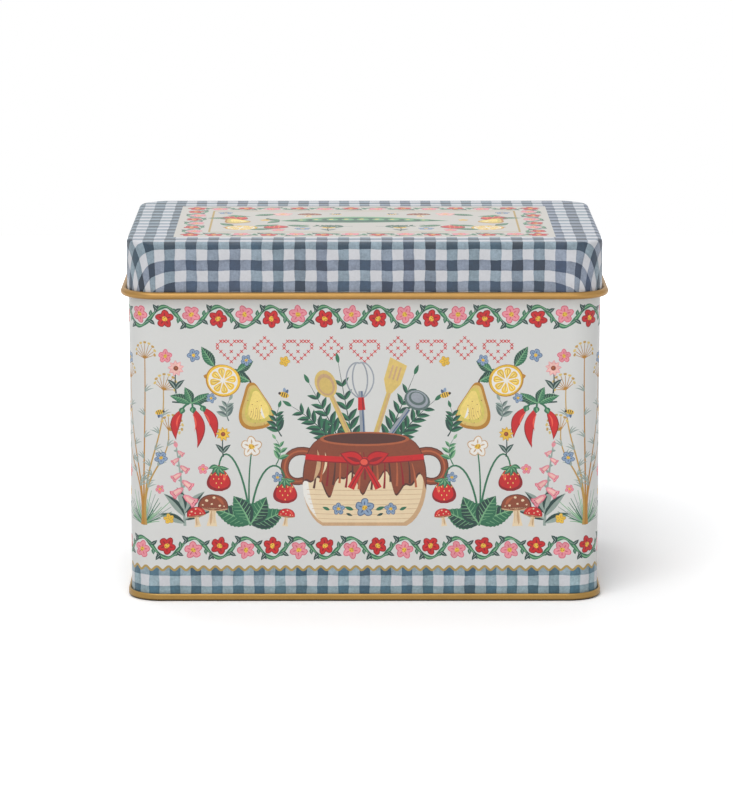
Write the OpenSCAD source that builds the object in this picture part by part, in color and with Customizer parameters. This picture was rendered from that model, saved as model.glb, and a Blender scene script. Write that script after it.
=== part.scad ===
// Recipe card box: a hinged tinplate box that holds 4 x 6 inch recipe cards on edge.
// Millimetres, +Z up, hinge at +Y. The origin is the centre of the foot, on the surface it stands on.
// The box is worked out round the cards: their size, the room beside and above them, and the sheet.

/* [Cards and dividers] */
// Width of a recipe card
card_w = 152.4; // [140:0.1:160]
// Height of a recipe card
card_h = 101.6; // [90:0.1:115]
// Thickness of a recipe card
card_t = 0.3; // [0.2:0.05:0.5]
// Corner radius of the cards and dividers
card_corner_r = 3; // [1:0.5:6]
// Air between two sheets of card
sheet_gap = 0.12; // [0.1:0.01:0.2]
// How far the cards of a group stray sideways
card_stray = 0.9; // [0:0.1:2]
// Dividers, each with a group of cards behind it
sections = 8; // [3:1:11]
// Cards in each group
cards_per_section = 5; // [1:1:7]
// Distance between the feet of two dividers
section_pitch = 6; // [5.5:0.1:7.5]
// Air between the tops of two sections
section_top_gap = 0.8; // [0.7:0.1:1.2]
// Lean of the rearmost cards
lean_back = 4; // [2:0.5:8]
// Thickness of a divider
divider_t = 0.5; // [0.3:0.05:0.8]
// How far the shoulder of a divider stands above the cards
divider_rise = 3; // [1:0.5:5]
// Height of a divider's tab
tab_h = 10; // [6:0.5:13]
// Width of a divider's tab
tab_w = 34; // [20:0.5:36]
// Corner radius of a tab
tab_corner_r = 3; // [1:0.5:3]
// Tab places across a divider
tab_places = 4; // [2:1:4]

/* [Tinplate body] */
// Thickness of the sheet
tin_t = 0.25; // [0.22:0.01:0.3]
// Depth of the body, front to back, outside
body_d = 102; // [96:1:130]
// Radius of the body's upright corners, outside
corner_r = 10.5; // [9:0.5:16]
// Room between the cards and the side walls
card_side_room = 4.55; // [3.5:0.01:9]
// Room above the cards, up to the hinge's axis
card_headroom = 2.4; // [1:0.1:8]
// Diameter of the curl on the body's top edge
rim_d = 2; // [1.6:0.1:2.6]
// Width of the upright lock seam in the back wall
lock_seam_w = 4.5; // [3:0.5:7]
// Width of the groove that the lock seam shows outside
lock_groove_w = 0.5; // [0.3:0.1:1]
// Depth of that groove
lock_groove_depth = 0.1; // [0.05:0.01:0.15]

/* [Base seam] */
// Height of the folded seam round the foot
seam_h = 2.6; // [2.2:0.1:3.4]
// Gap between the folds of the seam
seam_gap = 0.15; // [0.12:0.01:0.25]
// Outer radius of the seam's folds
seam_bend_r = 0.45; // [0.38:0.01:0.5]
// Radius of the seam's outer edge at the foot (mm)
seam_foot_r = 0.9; // [0.6:0.05:0.95]
// Radius of the seam's outer edge at its top (mm)
seam_top_r = 0.55; // [0.45:0.01:0.55]
// Height of the base panel's underside above the foot
base_recess = 2.3; // [1.5:0.1:4]
// Step up from the base panel's border to its middle
panel_step = 0.6; // [0.3:0.1:1.2]
// Slope of that step, seen from above
panel_step_run = 0.8; // [0.5:0.1:1.2]
// Width of the base panel's border
panel_border = 6; // [4:0.5:7]

/* [Lid] */
// Height of the lid, from the underside of its curl
lid_h = 19.5; // [18:0.5:28]
// Play between the body and the lid's skirt, on each side
lid_fit = 0.3; // [0.2:0.01:0.6]
// Part of that play left when the lid's front swings past the body
swing_gap = 0.07; // [0.05:0.01:0.12]
// Outer radius of the lid's shoulder
shoulder_r = 1.2; // [0.8:0.1:2.5]
// Diameter of the curl on the lid's lower edge
curl_d = 2.5; // [2.3:0.1:3.2]

/* [Hinge] */
// Distance from a hinge's middle to the body's side
hinge_inset = 34; // [28:0.5:50]
// Width of a rolled hinge tab
knuckle_w = 12; // [8:0.5:20]
// Gap between a hinge tab and the notch in the lid
notch_gap = 0.4; // [0.3:0.05:0.8]
// Distance from the hinge's axis down to the root of its tab
tab_drop = 3.6; // [2.8:0.1:5]
// Gap cut round the hinge tab when it is pierced
pierce_gap = 0.2; // [0.1:0.05:0.4]
// Running clearance of a hinge pin, on the radius
pin_fit = 0.07; // [0.03:0.01:0.1]
// How far a hinge pin reaches into the lid's curl at each end
pin_reach = 9; // [5:0.5:14]

/* [Hidden] */
$fn = 96;

// Heights
wall_foot_z = tin_t + seam_gap;
floor_z = base_recess + panel_step + tin_t;
hinge_z = floor_z + card_h + card_headroom;
lid_top_z = hinge_z - curl_d / 2 + lid_h;

// Plan of the body, and of the lid round it
body_w = card_w + 2 * (card_side_room + tin_t);
lid_out = lid_fit + tin_t;
lid_w = body_w + 2 * lid_out;
lid_d = body_d + 2 * lid_out;
lid_corner_r = corner_r + lid_out;

// Centre line of a curled edge, and where it ends short of its own wall
curl_line_r = (curl_d - tin_t) / 2;
curl_arc = 310;

// Hinge axis: the middle of the curl on the lid's back edge
hinge_y = lid_d / 2 - tin_t / 2 + curl_line_r;
hinge_x = body_w / 2 - hinge_inset;
pin_r = curl_d / 2 - tin_t - pin_fit;
pin_l = knuckle_w + 2 * (notch_gap + pin_reach);

// Hinge tab, y and z from the hinge's axis: it leaves the wall at its root, meets the roll at a
// tangent, and goes over the pin and back under it
tab_root = [body_d / 2 - tin_t / 2 - hinge_y, -tab_drop];
roll_arc = 290;
roll_start = 360 + atan2(tab_root.y, tab_root.x) - acos(curl_line_r / norm(tab_root));
tab_length = sqrt(pow(norm(tab_root), 2) - pow(curl_line_r, 2)) + curl_line_r * roll_arc * PI / 180;

// The neck inside the lid is as high as the lid's front can swing over
front_reach = hinge_y + lid_d / 2 - tin_t;
neck_h = rim_d / 2 + sqrt(pow(front_reach, 2) - pow(front_reach - lid_fit + swing_gap, 2));
rim_z = hinge_z + neck_h;

// The window that a hinge tab leaves in the wall is as long as the tab, and ends below the rim's curl
window_z = hinge_z - tab_drop;
window_h = min(tab_length, rim_z - rim_d - window_z);

// Base seam: offsets outward from the body's face
hook_u = tin_t + 2 * seam_gap;
seam_u = 3 * (tin_t + seam_gap);
chuck_u = -2 * tin_t - seam_gap;
border_u = chuck_u + tin_t - seam_bend_r;
panel_w = body_w + 2 * chuck_u - 2 * panel_border;
panel_d = body_d + 2 * chuck_u - 2 * panel_border;
panel_r = corner_r + chuck_u - panel_border;

// Cards: each section leans back a little more than the one behind it
sheet_pitch = card_t + sheet_gap;
divider_back = cards_per_section * sheet_pitch;
section_t = divider_back + divider_t;
divider_h = card_h + divider_rise;
fan_step = atan((section_pitch - section_t - section_top_gap) / (divider_h + tab_h));
rest_gap = 0.3;
floor_gap = 0.1;
lock_seam_t = 2 * tin_t;

// How far back something of a half width can stand between the round corners of the box
function back_limit(half_w, inner_r) = body_d / 2 - corner_r + sqrt(
    pow(inner_r, 2) - pow(max(0, half_w - body_w / 2 + corner_r), 2)
);
tabs_half_w = card_w * (0.5 - 0.5 / tab_places) + tab_w / 2;
cards_back_y = min(
    body_d / 2 - tin_t - lock_seam_t - rest_gap,
    back_limit(card_w / 2 + card_stray, corner_r - tin_t - rest_gap)
);
tabs_back_y = back_limit(tabs_half_w, corner_r - rim_d - rest_gap);
last_foot_y = min(
    cards_back_y - card_h * sin(lean_back),
    tabs_back_y + divider_back * cos(lean_back) - (divider_h + tab_h) * sin(lean_back)
);

function two_digits(i) = str(i < 10 ? "0" : "", i);
function divider_name(i) = str("divider_", two_digits(i));
function cards_name(i) = str("recipe_cards_", two_digits(i));
function sections_behind(i) = sections - i;
function lean(i) = lean_back + sections_behind(i) * fan_step;
function foot_y(i) = last_foot_y - sections_behind(i) * section_pitch;

// Rectangle with round corners, centred
module rounded_rect(w, d, r) {
    square([w - 2 * r, d], center = true);
    square([w, d - 2 * r], center = true);
    for (x = [-1, 1], y = [-1, 1])
        translate([x * (w / 2 - r), y * (d / 2 - r)]) circle(r = r);
}

// Carries a section round a rounded rectangle: x is outward from the outline, y is up
module swept(w, d, r) {
    for (side = [0 : 3]) {
        along = side % 2 == 0 ? d : w;
        across = side % 2 == 0 ? w : d;
        rotate([0, 0, 90 * side]) {
            translate([across / 2, along / 2 - r, 0])
                rotate([90, 0, 0])
                    linear_extrude(height = along - 2 * r) children();
            translate([across / 2 - r, along / 2 - r, 0])
                rotate_extrude(angle = 90) translate([r, 0]) children();
        }
    }
}

// Strip of sheet bent round an arc, about the origin
module bent_strip(outer_r, from, to) {
    steps = ceil((to - from) / 30);
    intersection() {
        difference() {
            circle(r = outer_r);
            circle(r = outer_r - tin_t);
        }
        polygon(concat([[0, 0]], [
            for (i = [0 : steps])
                let (a = from + (to - from) * i / steps)
                2 * outer_r * [cos(a), sin(a)]
        ]));
    }
}

// Section of the body's wall: hook in the base seam, wall, and inward curl at the top
module body_section() {
    flange_u = hook_u + tin_t - seam_bend_r;
    bend_z = wall_foot_z + seam_bend_r;
    translate([-rim_d / 2, rim_z - rim_d / 2]) bent_strip(rim_d / 2, 0, curl_arc);
    translate([-tin_t, bend_z]) square([tin_t, rim_z - rim_d / 2 - bend_z]);
    translate([seam_bend_r - tin_t, bend_z]) bent_strip(seam_bend_r, 180, 270);
    translate([seam_bend_r - tin_t, wall_foot_z]) square([flange_u - seam_bend_r + tin_t, tin_t]);
    translate([flange_u, bend_z]) bent_strip(seam_bend_r, -90, 0);
    translate([hook_u, bend_z]) square([tin_t, seam_h - wall_foot_z - bend_z]);
}

// Section of a hinge tab, y across and z up from the hinge's axis
module knuckle_section() {
    into_roll = 10;
    into_wall = 2 * tin_t;
    across = tin_t / 2 * [cos(roll_start), sin(roll_start)];
    meet = curl_line_r * [cos(roll_start), sin(roll_start)];
    bent_strip(curl_d / 2, roll_start - roll_arc, roll_start);
    polygon([
        tab_root - [tin_t / 2, into_wall],
        tab_root + [tin_t / 2, -into_wall],
        tab_root + [tin_t / 2, 0],
        meet - across,
        curl_line_r * [cos(roll_start - into_roll), sin(roll_start - into_roll)],
        meet + across,
        tab_root - [tin_t / 2, 0]
    ]);
}

module hinge_places() {
    for (side = [-1, 1]) translate([side * hinge_x, 0, 0]) children();
}

// Extrudes a section given in y and z along X, centred
module along_x(length) {
    translate([-length / 2, 0, 0]) rotate([90, 0, 90]) linear_extrude(height = length) children();
}

// Folds of the upright lock seam, inside the back wall
module lock_seam() {
    seam_z = floor_z + rest_gap;
    translate([0, body_d / 2 - tin_t - lock_seam_t / 2, seam_z])
        linear_extrude(height = rim_z - rim_d - rest_gap - seam_z)
            rounded_rect(lock_seam_w, lock_seam_t + tin_t, tin_t);
}

module body_wall() {
    window_w = knuckle_w + 2 * pierce_gap;
    window_depth = 3 * tin_t;
    color([0.93, 0.92, 0.88]) union() {
        difference() {
            union() {
                swept(body_w, body_d, corner_r) body_section();
                lock_seam();
            }
            translate([lock_seam_w / 2 - lock_groove_w, body_d / 2 - lock_groove_depth, seam_h])
                cube([lock_groove_w, tin_t, rim_z - rim_d / 2 - seam_h]);
            hinge_places() translate([-window_w / 2, body_d / 2 + tin_t - window_depth, window_z])
                cube([window_w, window_depth, window_h]);
        }
        hinge_places() translate([0, hinge_y, hinge_z]) along_x(knuckle_w) knuckle_section();
    }
}

// Section of the seam's outer fold: down inside the wall, under it, up round it and down again
module base_seam_section() {
    foot_u = seam_u - seam_foot_r;
    shoulder_u = seam_u - seam_top_r;
    inner_u = chuck_u + seam_bend_r;
    hook_top_u = seam_gap + seam_bend_r;
    top_z = seam_h - seam_bend_r;
    hook_z = 2 * wall_foot_z;
    chuck_top_z = base_recess + tin_t - seam_bend_r;
    translate([inner_u - 2 * seam_bend_r + tin_t, chuck_top_z]) bent_strip(seam_bend_r, 0, 90);
    translate([chuck_u, seam_bend_r]) square([tin_t, chuck_top_z - seam_bend_r]);
    translate([inner_u, seam_bend_r]) bent_strip(seam_bend_r, 180, 270);
    translate([inner_u, 0]) square([foot_u - inner_u, tin_t]);
    translate([foot_u, seam_foot_r]) bent_strip(seam_foot_r, -90, 0);
    translate([seam_u - tin_t, seam_foot_r]) square([tin_t, seam_h - seam_top_r - seam_foot_r]);
    translate([shoulder_u, seam_h - seam_top_r]) bent_strip(seam_top_r, 0, 90);
    translate([hook_top_u, seam_h - tin_t]) square([shoulder_u - hook_top_u, tin_t]);
    translate([hook_top_u, top_z]) bent_strip(seam_bend_r, 90, 180);
    translate([seam_gap, hook_z]) square([tin_t, top_z - hook_z]);
}

// Section of the slope from the base panel's border up to its middle
module panel_step_section() {
    polygon([
        [0, base_recess],
        [0, base_recess + tin_t],
        [-panel_step_run, floor_z],
        [-panel_step_run, floor_z - tin_t]
    ]);
}

module base_panel() {
    color([0.80, 0.62, 0.32]) {
        swept(body_w, body_d, corner_r) base_seam_section();
        translate([0, 0, base_recess]) linear_extrude(height = tin_t) difference() {
            rounded_rect(body_w + 2 * border_u, body_d + 2 * border_u, corner_r + border_u);
            rounded_rect(panel_w, panel_d, panel_r);
        }
        swept(panel_w, panel_d, panel_r) panel_step_section();
        translate([0, 0, floor_z - tin_t]) linear_extrude(height = tin_t) rounded_rect(
            panel_w - 2 * panel_step_run, panel_d - 2 * panel_step_run, panel_r - panel_step_run
        );
    }
}

// Section of the lid's side: shoulder, skirt, and outward curl round the hinge's axis height
module lid_section() {
    translate([-shoulder_r, lid_top_z - shoulder_r]) bent_strip(shoulder_r, 0, 90);
    translate([-tin_t, hinge_z]) square([tin_t, lid_top_z - shoulder_r - hinge_z]);
    translate([curl_line_r - tin_t / 2, hinge_z]) bent_strip(curl_d / 2, -180, curl_arc - 180);
}

module lid() {
    notch_w = knuckle_w + 2 * notch_gap;
    notch_r = curl_d / 2 + notch_gap;
    color([0.56, 0.63, 0.70])
        difference() {
            union() {
                swept(lid_w, lid_d, lid_corner_r) lid_section();
                translate([0, 0, lid_top_z - tin_t]) linear_extrude(height = tin_t) rounded_rect(
                    lid_w - 2 * shoulder_r, lid_d - 2 * shoulder_r, lid_corner_r - shoulder_r
                );
            }
            hinge_places() translate([0, hinge_y, hinge_z])
                cube([notch_w, 2 * notch_r, 2 * notch_r], center = true);
        }
}

module hinge_pin(side) {
    color([0.75, 0.75, 0.77])
        translate([side * hinge_x, hinge_y, hinge_z])
            rotate([0, 90, 0]) cylinder(r = pin_r, h = pin_l, center = true);
}

// Stands a section's sheets on the floor and leans them back
module leaned(i) {
    translate([0, foot_y(i), floor_z + floor_gap]) rotate([-lean(i), 0, 0]) children();
}

// One sheet of a section: it lies back from the front by its place, its foot on the floor
module sheet(i, back, thickness) {
    translate([0, -back, -back * tan(lean(i))])
        rotate([90, 0, 0]) linear_extrude(height = thickness) children();
}

module divider(i) {
    place = (i - 1) % tab_places;
    tab_x = card_w * ((place + 0.5) / tab_places - 0.5);
    color([0.55 + 0.1 * place, 0.68, 0.62 - 0.05 * place])
        leaned(i) sheet(i, divider_back, divider_t) {
            translate([0, divider_h / 2]) rounded_rect(card_w, divider_h, card_corner_r);
            translate([tab_x, divider_h]) rounded_rect(tab_w, 2 * tab_h, tab_corner_r);
        }
}

module recipe_cards(i) {
    card_turn = 97;
    section_turn = 41;
    color([0.95, 0.93, 0.87])
        leaned(i) for (k = [0 : cards_per_section - 1])
            sheet(i, k * sheet_pitch, card_t)
                translate([card_stray * sin(card_turn * k + section_turn * i), card_h / 2])
                    rounded_rect(card_w, card_h, card_corner_r);
}

body_wall();
base_panel();
lid();
hinge_pin(-1);  // hinge_pin_left
hinge_pin(1);  // hinge_pin_right
for (i = [1 : sections]) {
    divider(i);
    recipe_cards(i);
}
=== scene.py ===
import math

import bmesh
import bpy
import numpy as np
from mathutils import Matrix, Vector
from mathutils.geometry import delaunay_2d_cdt


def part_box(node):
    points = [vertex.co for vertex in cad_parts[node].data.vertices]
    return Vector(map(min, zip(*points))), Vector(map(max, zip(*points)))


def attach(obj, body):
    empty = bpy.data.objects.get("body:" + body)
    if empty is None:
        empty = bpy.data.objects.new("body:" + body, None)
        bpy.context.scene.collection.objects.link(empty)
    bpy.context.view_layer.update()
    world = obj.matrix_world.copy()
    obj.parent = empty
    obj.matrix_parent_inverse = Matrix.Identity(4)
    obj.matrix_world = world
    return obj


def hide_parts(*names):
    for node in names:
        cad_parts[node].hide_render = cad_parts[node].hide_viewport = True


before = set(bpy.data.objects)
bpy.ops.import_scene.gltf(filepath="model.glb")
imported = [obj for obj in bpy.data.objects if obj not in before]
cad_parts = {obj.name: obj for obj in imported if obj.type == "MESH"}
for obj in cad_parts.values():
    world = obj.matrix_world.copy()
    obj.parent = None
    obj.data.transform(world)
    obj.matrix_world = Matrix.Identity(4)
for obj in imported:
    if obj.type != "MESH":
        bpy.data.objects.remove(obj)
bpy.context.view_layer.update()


# Studio: the box stands on a white table under four large soft lamps, the strongest from the front and left.
# A long lens looks at it from the front and 11 degrees above. The table is white where no shadow lies.
def feed(tree, node, inputs):
    """Gives each named input its plain value, or links it to the output socket given for it."""
    for name, value in inputs.items():
        if isinstance(value, bpy.types.NodeSocket):
            tree.links.new(value, node.inputs[name])
        else:
            node.inputs[name].default_value = value
    return node


def place(tree, kind, inputs=None, **settings):
    """Adds a shader node with its settings and inputs."""
    node = tree.nodes.new("ShaderNode" + kind)
    for name, value in settings.items():
        setattr(node, name, value)
    return feed(tree, node, inputs or {})


def calc(tree, how, a, b):
    """One step of arithmetic on two values."""
    return place(tree, "Math", {0: a, 1: b}, operation=how).outputs[0]


def ramp(tree, value, start, end, low, high, shape="SMOOTHSTEP"):
    """Carries a value that runs from start to end over to a value that runs from low to high."""
    ends = {"Value": value, "From Min": start, "From Max": end, "To Min": low, "To Max": high}
    return place(tree, "MapRange", ends, interpolation_type=shape).outputs[0]


def object_place(tree):
    """The point's place in the object's own frame."""
    return place(tree, "TexCoord").outputs["Object"]


def bare_tree(owner):
    """An empty node tree for a material or a world."""
    owner.use_nodes = True
    owner.node_tree.nodes.clear()
    return owner.node_tree


def seen_factor(tree):
    """1 where the camera or a reflection looks, 0 for light that bounces."""
    path = place(tree, "LightPath")
    return calc(tree, "MAXIMUM", path.outputs["Is Camera Ray"], path.outputs["Is Glossy Ray"])


def new_object(name, data):
    made = bpy.data.objects.new(name, data)
    scene.collection.objects.link(made)
    return made


scene = bpy.context.scene
scene.view_settings.view_transform = "Standard"

scene.world = bpy.data.worlds.new("white_studio")
world_tree = bare_tree(scene.world)
sky = place(world_tree, "Background", {"Color": (0.97, 0.98, 1.0, 1), "Strength": 0.43})
backdrop = place(world_tree, "Background", {"Color": (1, 1, 1, 1), "Strength": 1.0})
both_skies = {0: seen_factor(world_tree), 1: sky.outputs[0], 2: backdrop.outputs[0]}
seen = place(world_tree, "MixShader", both_skies)
place(world_tree, "OutputWorld", {"Surface": seen.outputs[0]})

TABLE_HALF = 0.8
table_corners = [(x * TABLE_HALF, y * TABLE_HALF, 0) for x, y in ((-1, -1), (1, -1), (1, 1), (-1, 1))]
table_mesh = bpy.data.meshes.new("table_top")
table_mesh.from_pydata(table_corners, [], [(0, 1, 2, 3)])
table = new_object("table_top", table_mesh)
table_paint = bpy.data.materials.new("white_table")
table_tree = bare_tree(table_paint)
table_way = place(table_tree, "VectorMath", {0: object_place(table_tree)}, operation="LENGTH")
table_gain = ramp(table_tree, table_way.outputs["Value"], 0.1, 0.5, 1.14, 1.8)
table_looks = {0: seen_factor(table_tree), 6: (0.8, 0.8, 0.8, 1), 7: table_gain}
table_white = place(table_tree, "Mix", table_looks, data_type="RGBA", clamp_result=False)
table_face = place(table_tree, "BsdfDiffuse", {"Color": table_white.outputs[2]})
place(table_tree, "OutputMaterial", {"Surface": table_face.outputs[0]})
table_mesh.materials.append(table_paint)


def facing(direction):
    """Rotation of a lamp or camera that looks in a direction."""
    return direction.to_track_quat("-Z", "Y").to_euler()


def soft_lamp(name, spot, aim_z, size, watts):
    """A rectangular area lamp, turned to a point over the middle of the table."""
    data = bpy.data.lights.new(name, "AREA")
    data.shape = "RECTANGLE"
    data.size, data.size_y = size
    data.energy = watts
    lamp = new_object(name, data)
    lamp.location = spot
    lamp.rotation_euler = facing(Vector((0, 0, aim_z)) - Vector(spot))


soft_lamp("key_softbox", (-0.75, -1.5, 1.85), 0.05, (1.2, 1.2), 13.2)
soft_lamp("front_softbox", (0.2, -2.3, 0.8), 0.06, (1.6, 1.0), 10.2)
soft_lamp("overhead_front", (-0.4, -0.8, 2.1), 0.05, (1.4, 1.4), 11.8)
soft_lamp("overhead_back", (-0.2, 0.9, 1.9), 0.05, (1.4, 1.4), 10.6)

camera_data = bpy.data.cameras.new("camera")
camera = new_object("camera", camera_data)
scene.camera = camera
azimuth, elevation, distance = -0.00266, 0.19225, 1.35
aim = Vector((0, 0, 0.06))
level = math.cos(elevation)
back = Vector((math.sin(azimuth) * level, -math.cos(azimuth) * level, math.sin(elevation)))
camera.location = aim + distance * back
camera.rotation_euler = facing(-back)
camera_data.sensor_fit = "HORIZONTAL"
camera_data.sensor_width = 36.0
camera_data.lens = 185.97
camera_data.shift_x, camera_data.shift_y = 0.00305, 0.00305
camera_data.clip_end = 60


# Body wall: one sheet of tinplate, gold lacquered inside, bent to a rounded rectangle, lock seamed at the
# back, its top edge curled inwards. The lacquer covers the curl, the seam and the hinges' rolled tabs too.
def linear(rgb):
    """Turns a colour of 0 to 255 on the screen into linear light, by the standard screen curve."""
    c = np.asarray(rgb, float) / 255
    return np.where(c <= 0.04045, c / 12.92, ((c + 0.055) / 1.055) ** 2.4)


def shade(rgb):
    """The same as an opaque colour for a socket."""
    return (*linear(rgb), 1.0)


def scaled(tree, colour, gain):
    """A colour times a value."""
    return place(tree, "VectorMath", {0: colour, "Scale": gain}, operation="SCALE").outputs[0]


def new_group(name, inputs, outputs):
    """A shader node group with named sockets, and its two end nodes."""
    group = bpy.data.node_groups.new(name, "ShaderNodeTree")
    for label, kind, value in inputs:
        socket = group.interface.new_socket(label, in_out="INPUT", socket_type="NodeSocket" + kind)
        socket.default_value = value
    for label, kind in outputs:
        group.interface.new_socket(label, in_out="OUTPUT", socket_type="NodeSocket" + kind)
    return group, group.nodes.new("NodeGroupInput").outputs, group.nodes.new("NodeGroupOutput")


def noise(tree, at, scale, detail, roughness=0.5):
    """Soft noise of 0 to 1."""
    form = {"Vector": at, "Scale": scale, "Detail": detail, "Roughness": roughness}
    return place(tree, "TexNoise", form).outputs[0]


def unevenness(tree, pattern, middle, strength):
    """How far a pattern swings about its middle value, and one plus that swing times a strength."""
    swing = calc(tree, "ADD", pattern, -middle)
    return swing, calc(tree, "ADD", calc(tree, "MULTIPLY", swing, strength), 1.0)


def lacquer_group():
    """Lacquer on tin: colour and gloss drift in soft clouds and finer mottling, over a fine orange peel."""
    group, given, out = new_group(
        "lacquer_on_tin",
        [
            ("Vector", "Vector", (0, 0, 0)),
            ("Colour", "Color", (0.8, 0.8, 0.8, 1)),
            ("Drift", "Float", 0.1),
            ("Roughness", "Float", 0.4),
        ],
        [("Colour", "Color"), ("Roughness", "Float"), ("Height", "Float")],
    )
    at = given["Vector"]
    clouds = calc(group, "ADD", noise(group, at, 260.0, 4.0, 0.6), noise(group, at, 1300.0, 3.0, 0.65))
    swing, gain = unevenness(group, clouds, 1.0, given["Drift"])
    rub = calc(group, "MULTIPLY", swing, 0.12)
    feed(group, out, {
        "Colour": scaled(group, given["Colour"], gain),
        "Roughness": calc(group, "ADD", rub, given["Roughness"]),
        "Height": noise(group, at, 2600.0, 2.0),
    })
    return group


LACQUER = lacquer_group()
GRAIN_DEPTH = 0.00004


def new_material(name):
    material = bpy.data.materials.new(name)
    material.use_nodes = True
    return material, material.node_tree, material.node_tree.nodes["Principled BSDF"]


def wear_lacquer(tree, surface, colour, drift, roughness, relief, metallic=0.0):
    """Feeds a material from the lacquer group, on Object coordinates."""
    taken = {"Vector": object_place(tree), "Colour": colour, "Drift": drift, "Roughness": roughness}
    coat = place(tree, "Group", taken, node_tree=LACQUER).outputs
    bump = place(tree, "Bump", {"Strength": relief, "Distance": GRAIN_DEPTH, "Height": coat["Height"]})
    feed(tree, surface, {
        "Base Color": coat["Colour"],
        "Roughness": coat["Roughness"],
        "Normal": bump.outputs[0],
        "Metallic": metallic,
    })


gold_lacquer, gold_tree, gold_surface = new_material("gold_lacquer")
wear_lacquer(gold_tree, gold_surface, shade((162, 124, 68)), 0.22, 0.42, 0.25, 0.7)


def dress(node, material):
    """Gives a CAD node its material."""
    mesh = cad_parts[node].data
    mesh.materials.clear()
    mesh.materials.append(material)


dress("body_wall", gold_lacquer)


# Print on the body: translucent inks and a satin varnish on off-white paint, rolled on the flat sheet before
# it was bent. It is a skin on the wall, in four fields that meet beside the corners, open at the hinges.
TAU = 2 * math.pi
MM = 0.001
INK = {
    "paper": (211, 211, 208),
    "milk": (232, 229, 222),
    "red": (194, 30, 34),
    "deep_red": (132, 16, 26),
    "coral": (228, 88, 70),
    "pink": (226, 142, 152),
    "rose": (206, 92, 116),
    "blush": (234, 186, 176),
    "green": (42, 104, 74),
    "mint": (116, 168, 124),
    "pine": (26, 58, 54),
    "sage": (142, 158, 150),
    "slate": (86, 104, 102),
    "gold": (184, 146, 74),
    "ochre": (176, 124, 46),
    "straw": (210, 182, 106),
    "yellow": (228, 184, 62),
    "lemon": (240, 214, 122),
    "pear": (206, 192, 96),
    "blue": (134, 156, 182),
    "dusk": (72, 94, 126),
    "brown": (128, 62, 38),
    "rust": (170, 90, 56),
    "umber": (74, 36, 28),
    "cream": (228, 206, 170),
    "tan": (196, 160, 122),
    "steel": (150, 156, 164),
    "dark": (56, 42, 42),
    "check_white": (202, 203, 207),
    "lid_paper": (197, 193, 186),
    "edge_gold": (174, 145, 80),
}
PETAL_EDGE = {
    "red": "deep_red", "pink": "rose", "blush": "pink", "blue": "dusk", "milk": "cream", "yellow": "gold",
}
BODY_HALF_W, BODY_HALF_D, BODY_R = 81.0, 51.0, 10.5
FILM = 0.03
SEAM_TOP, NECK_TOP = 2.2, 113.9
QUARTER = math.pi * BODY_R / 2
FRONT_RUN, SIDE_RUN = 2 * (BODY_HALF_W - BODY_R), 2 * (BODY_HALF_D - BODY_R)
AROUND = 2 * (FRONT_RUN + SIDE_RUN) + 4 * QUARTER
CHECK_COUNT = 70
CHECK = AROUND / CHECK_COUNT
BORDER_WAVE = AROUND / 28
SCALLOP = AROUND / 126


def ray(angle, length=1.0):
    """The point at a distance from 0, 0 in a direction."""
    return length * np.array([math.cos(angle), math.sin(angle)])


def turned(points, angle):
    """Turns points to the left about 0, 0."""
    c, s = math.cos(angle), math.sin(angle)
    return np.asarray(points, float) @ np.array([[c, s], [-s, c]])


def oval(x, y, rx, ry, turn=0.0, wobble=0.0, steps=16):
    """Outline: rx times the cosine and ry times the sine of an angle, with a radius that waves a little."""
    a = np.linspace(0, TAU, steps, endpoint=False)
    wave = 1 + wobble * (np.sin(2 * a + 1.7 * x + y) + np.sin(3 * a + 1.3 * y - x)) / 2
    return turned(np.stack([rx * wave * np.cos(a), ry * wave * np.sin(a)], 1), turn) + (x, y)


def leaf(x, y, length, width, turn, bow=0.0, steps=8, low=-1.0, teeth=0.0):
    """Outline from the stalk at x, y. The half width is a sine along the leaf, with fine teeth if asked, and
    its middle bows sideways. Low is the other edge as a share of that: -1 for a whole leaf, 0 for half."""
    t = np.linspace(0, 1, steps)
    half = width / 2 * np.sin(math.pi * t**0.85)
    half[1:-1] *= 1 + teeth * (-1) ** np.arange(steps - 2)
    middle = bow * length * 4 * t * (1 - t)
    top = np.stack([length * t, middle + half], 1)
    under = np.stack([length * t, middle + low * half], 1)[1:-1][::-1]
    return turned(np.concatenate([top, under]), turn) + (x, y)


def curve(points, steps=12):
    """Bezier curve on any number of control points: their sum, weighted by the Bernstein polynomials."""
    p = np.asarray(points, float)
    n = len(p) - 1
    t = np.linspace(0, 1, steps)[:, None]
    k = np.arange(n + 1)
    binomial = np.array([math.comb(n, i) for i in k])
    return (binomial * t**k * (1 - t) ** (n - k)) @ p


def ribbon(path, half):
    """Band along a path: each of its points moved to both sides along the normal."""
    along = np.gradient(path, axis=0)
    along /= np.linalg.norm(along, axis=1, keepdims=True)
    normal = np.stack([-along[:, 1], along[:, 0]], 1)
    return np.concatenate([path + normal * half, (path - normal * half)[::-1]])


def stroke(points, start, end=None, steps=12):
    """Brush stroke: a band along a curve, whose width changes evenly from start to end."""
    return ribbon(curve(points, steps), np.linspace(start, start if end is None else end, steps)[:, None] / 2)


MIRROR = (-1, 1)


def there_and_back(side):
    """A closed outline: one side of it, then its mirror image the other way."""
    return np.concatenate([side, side[::-1] * MIRROR])


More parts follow.
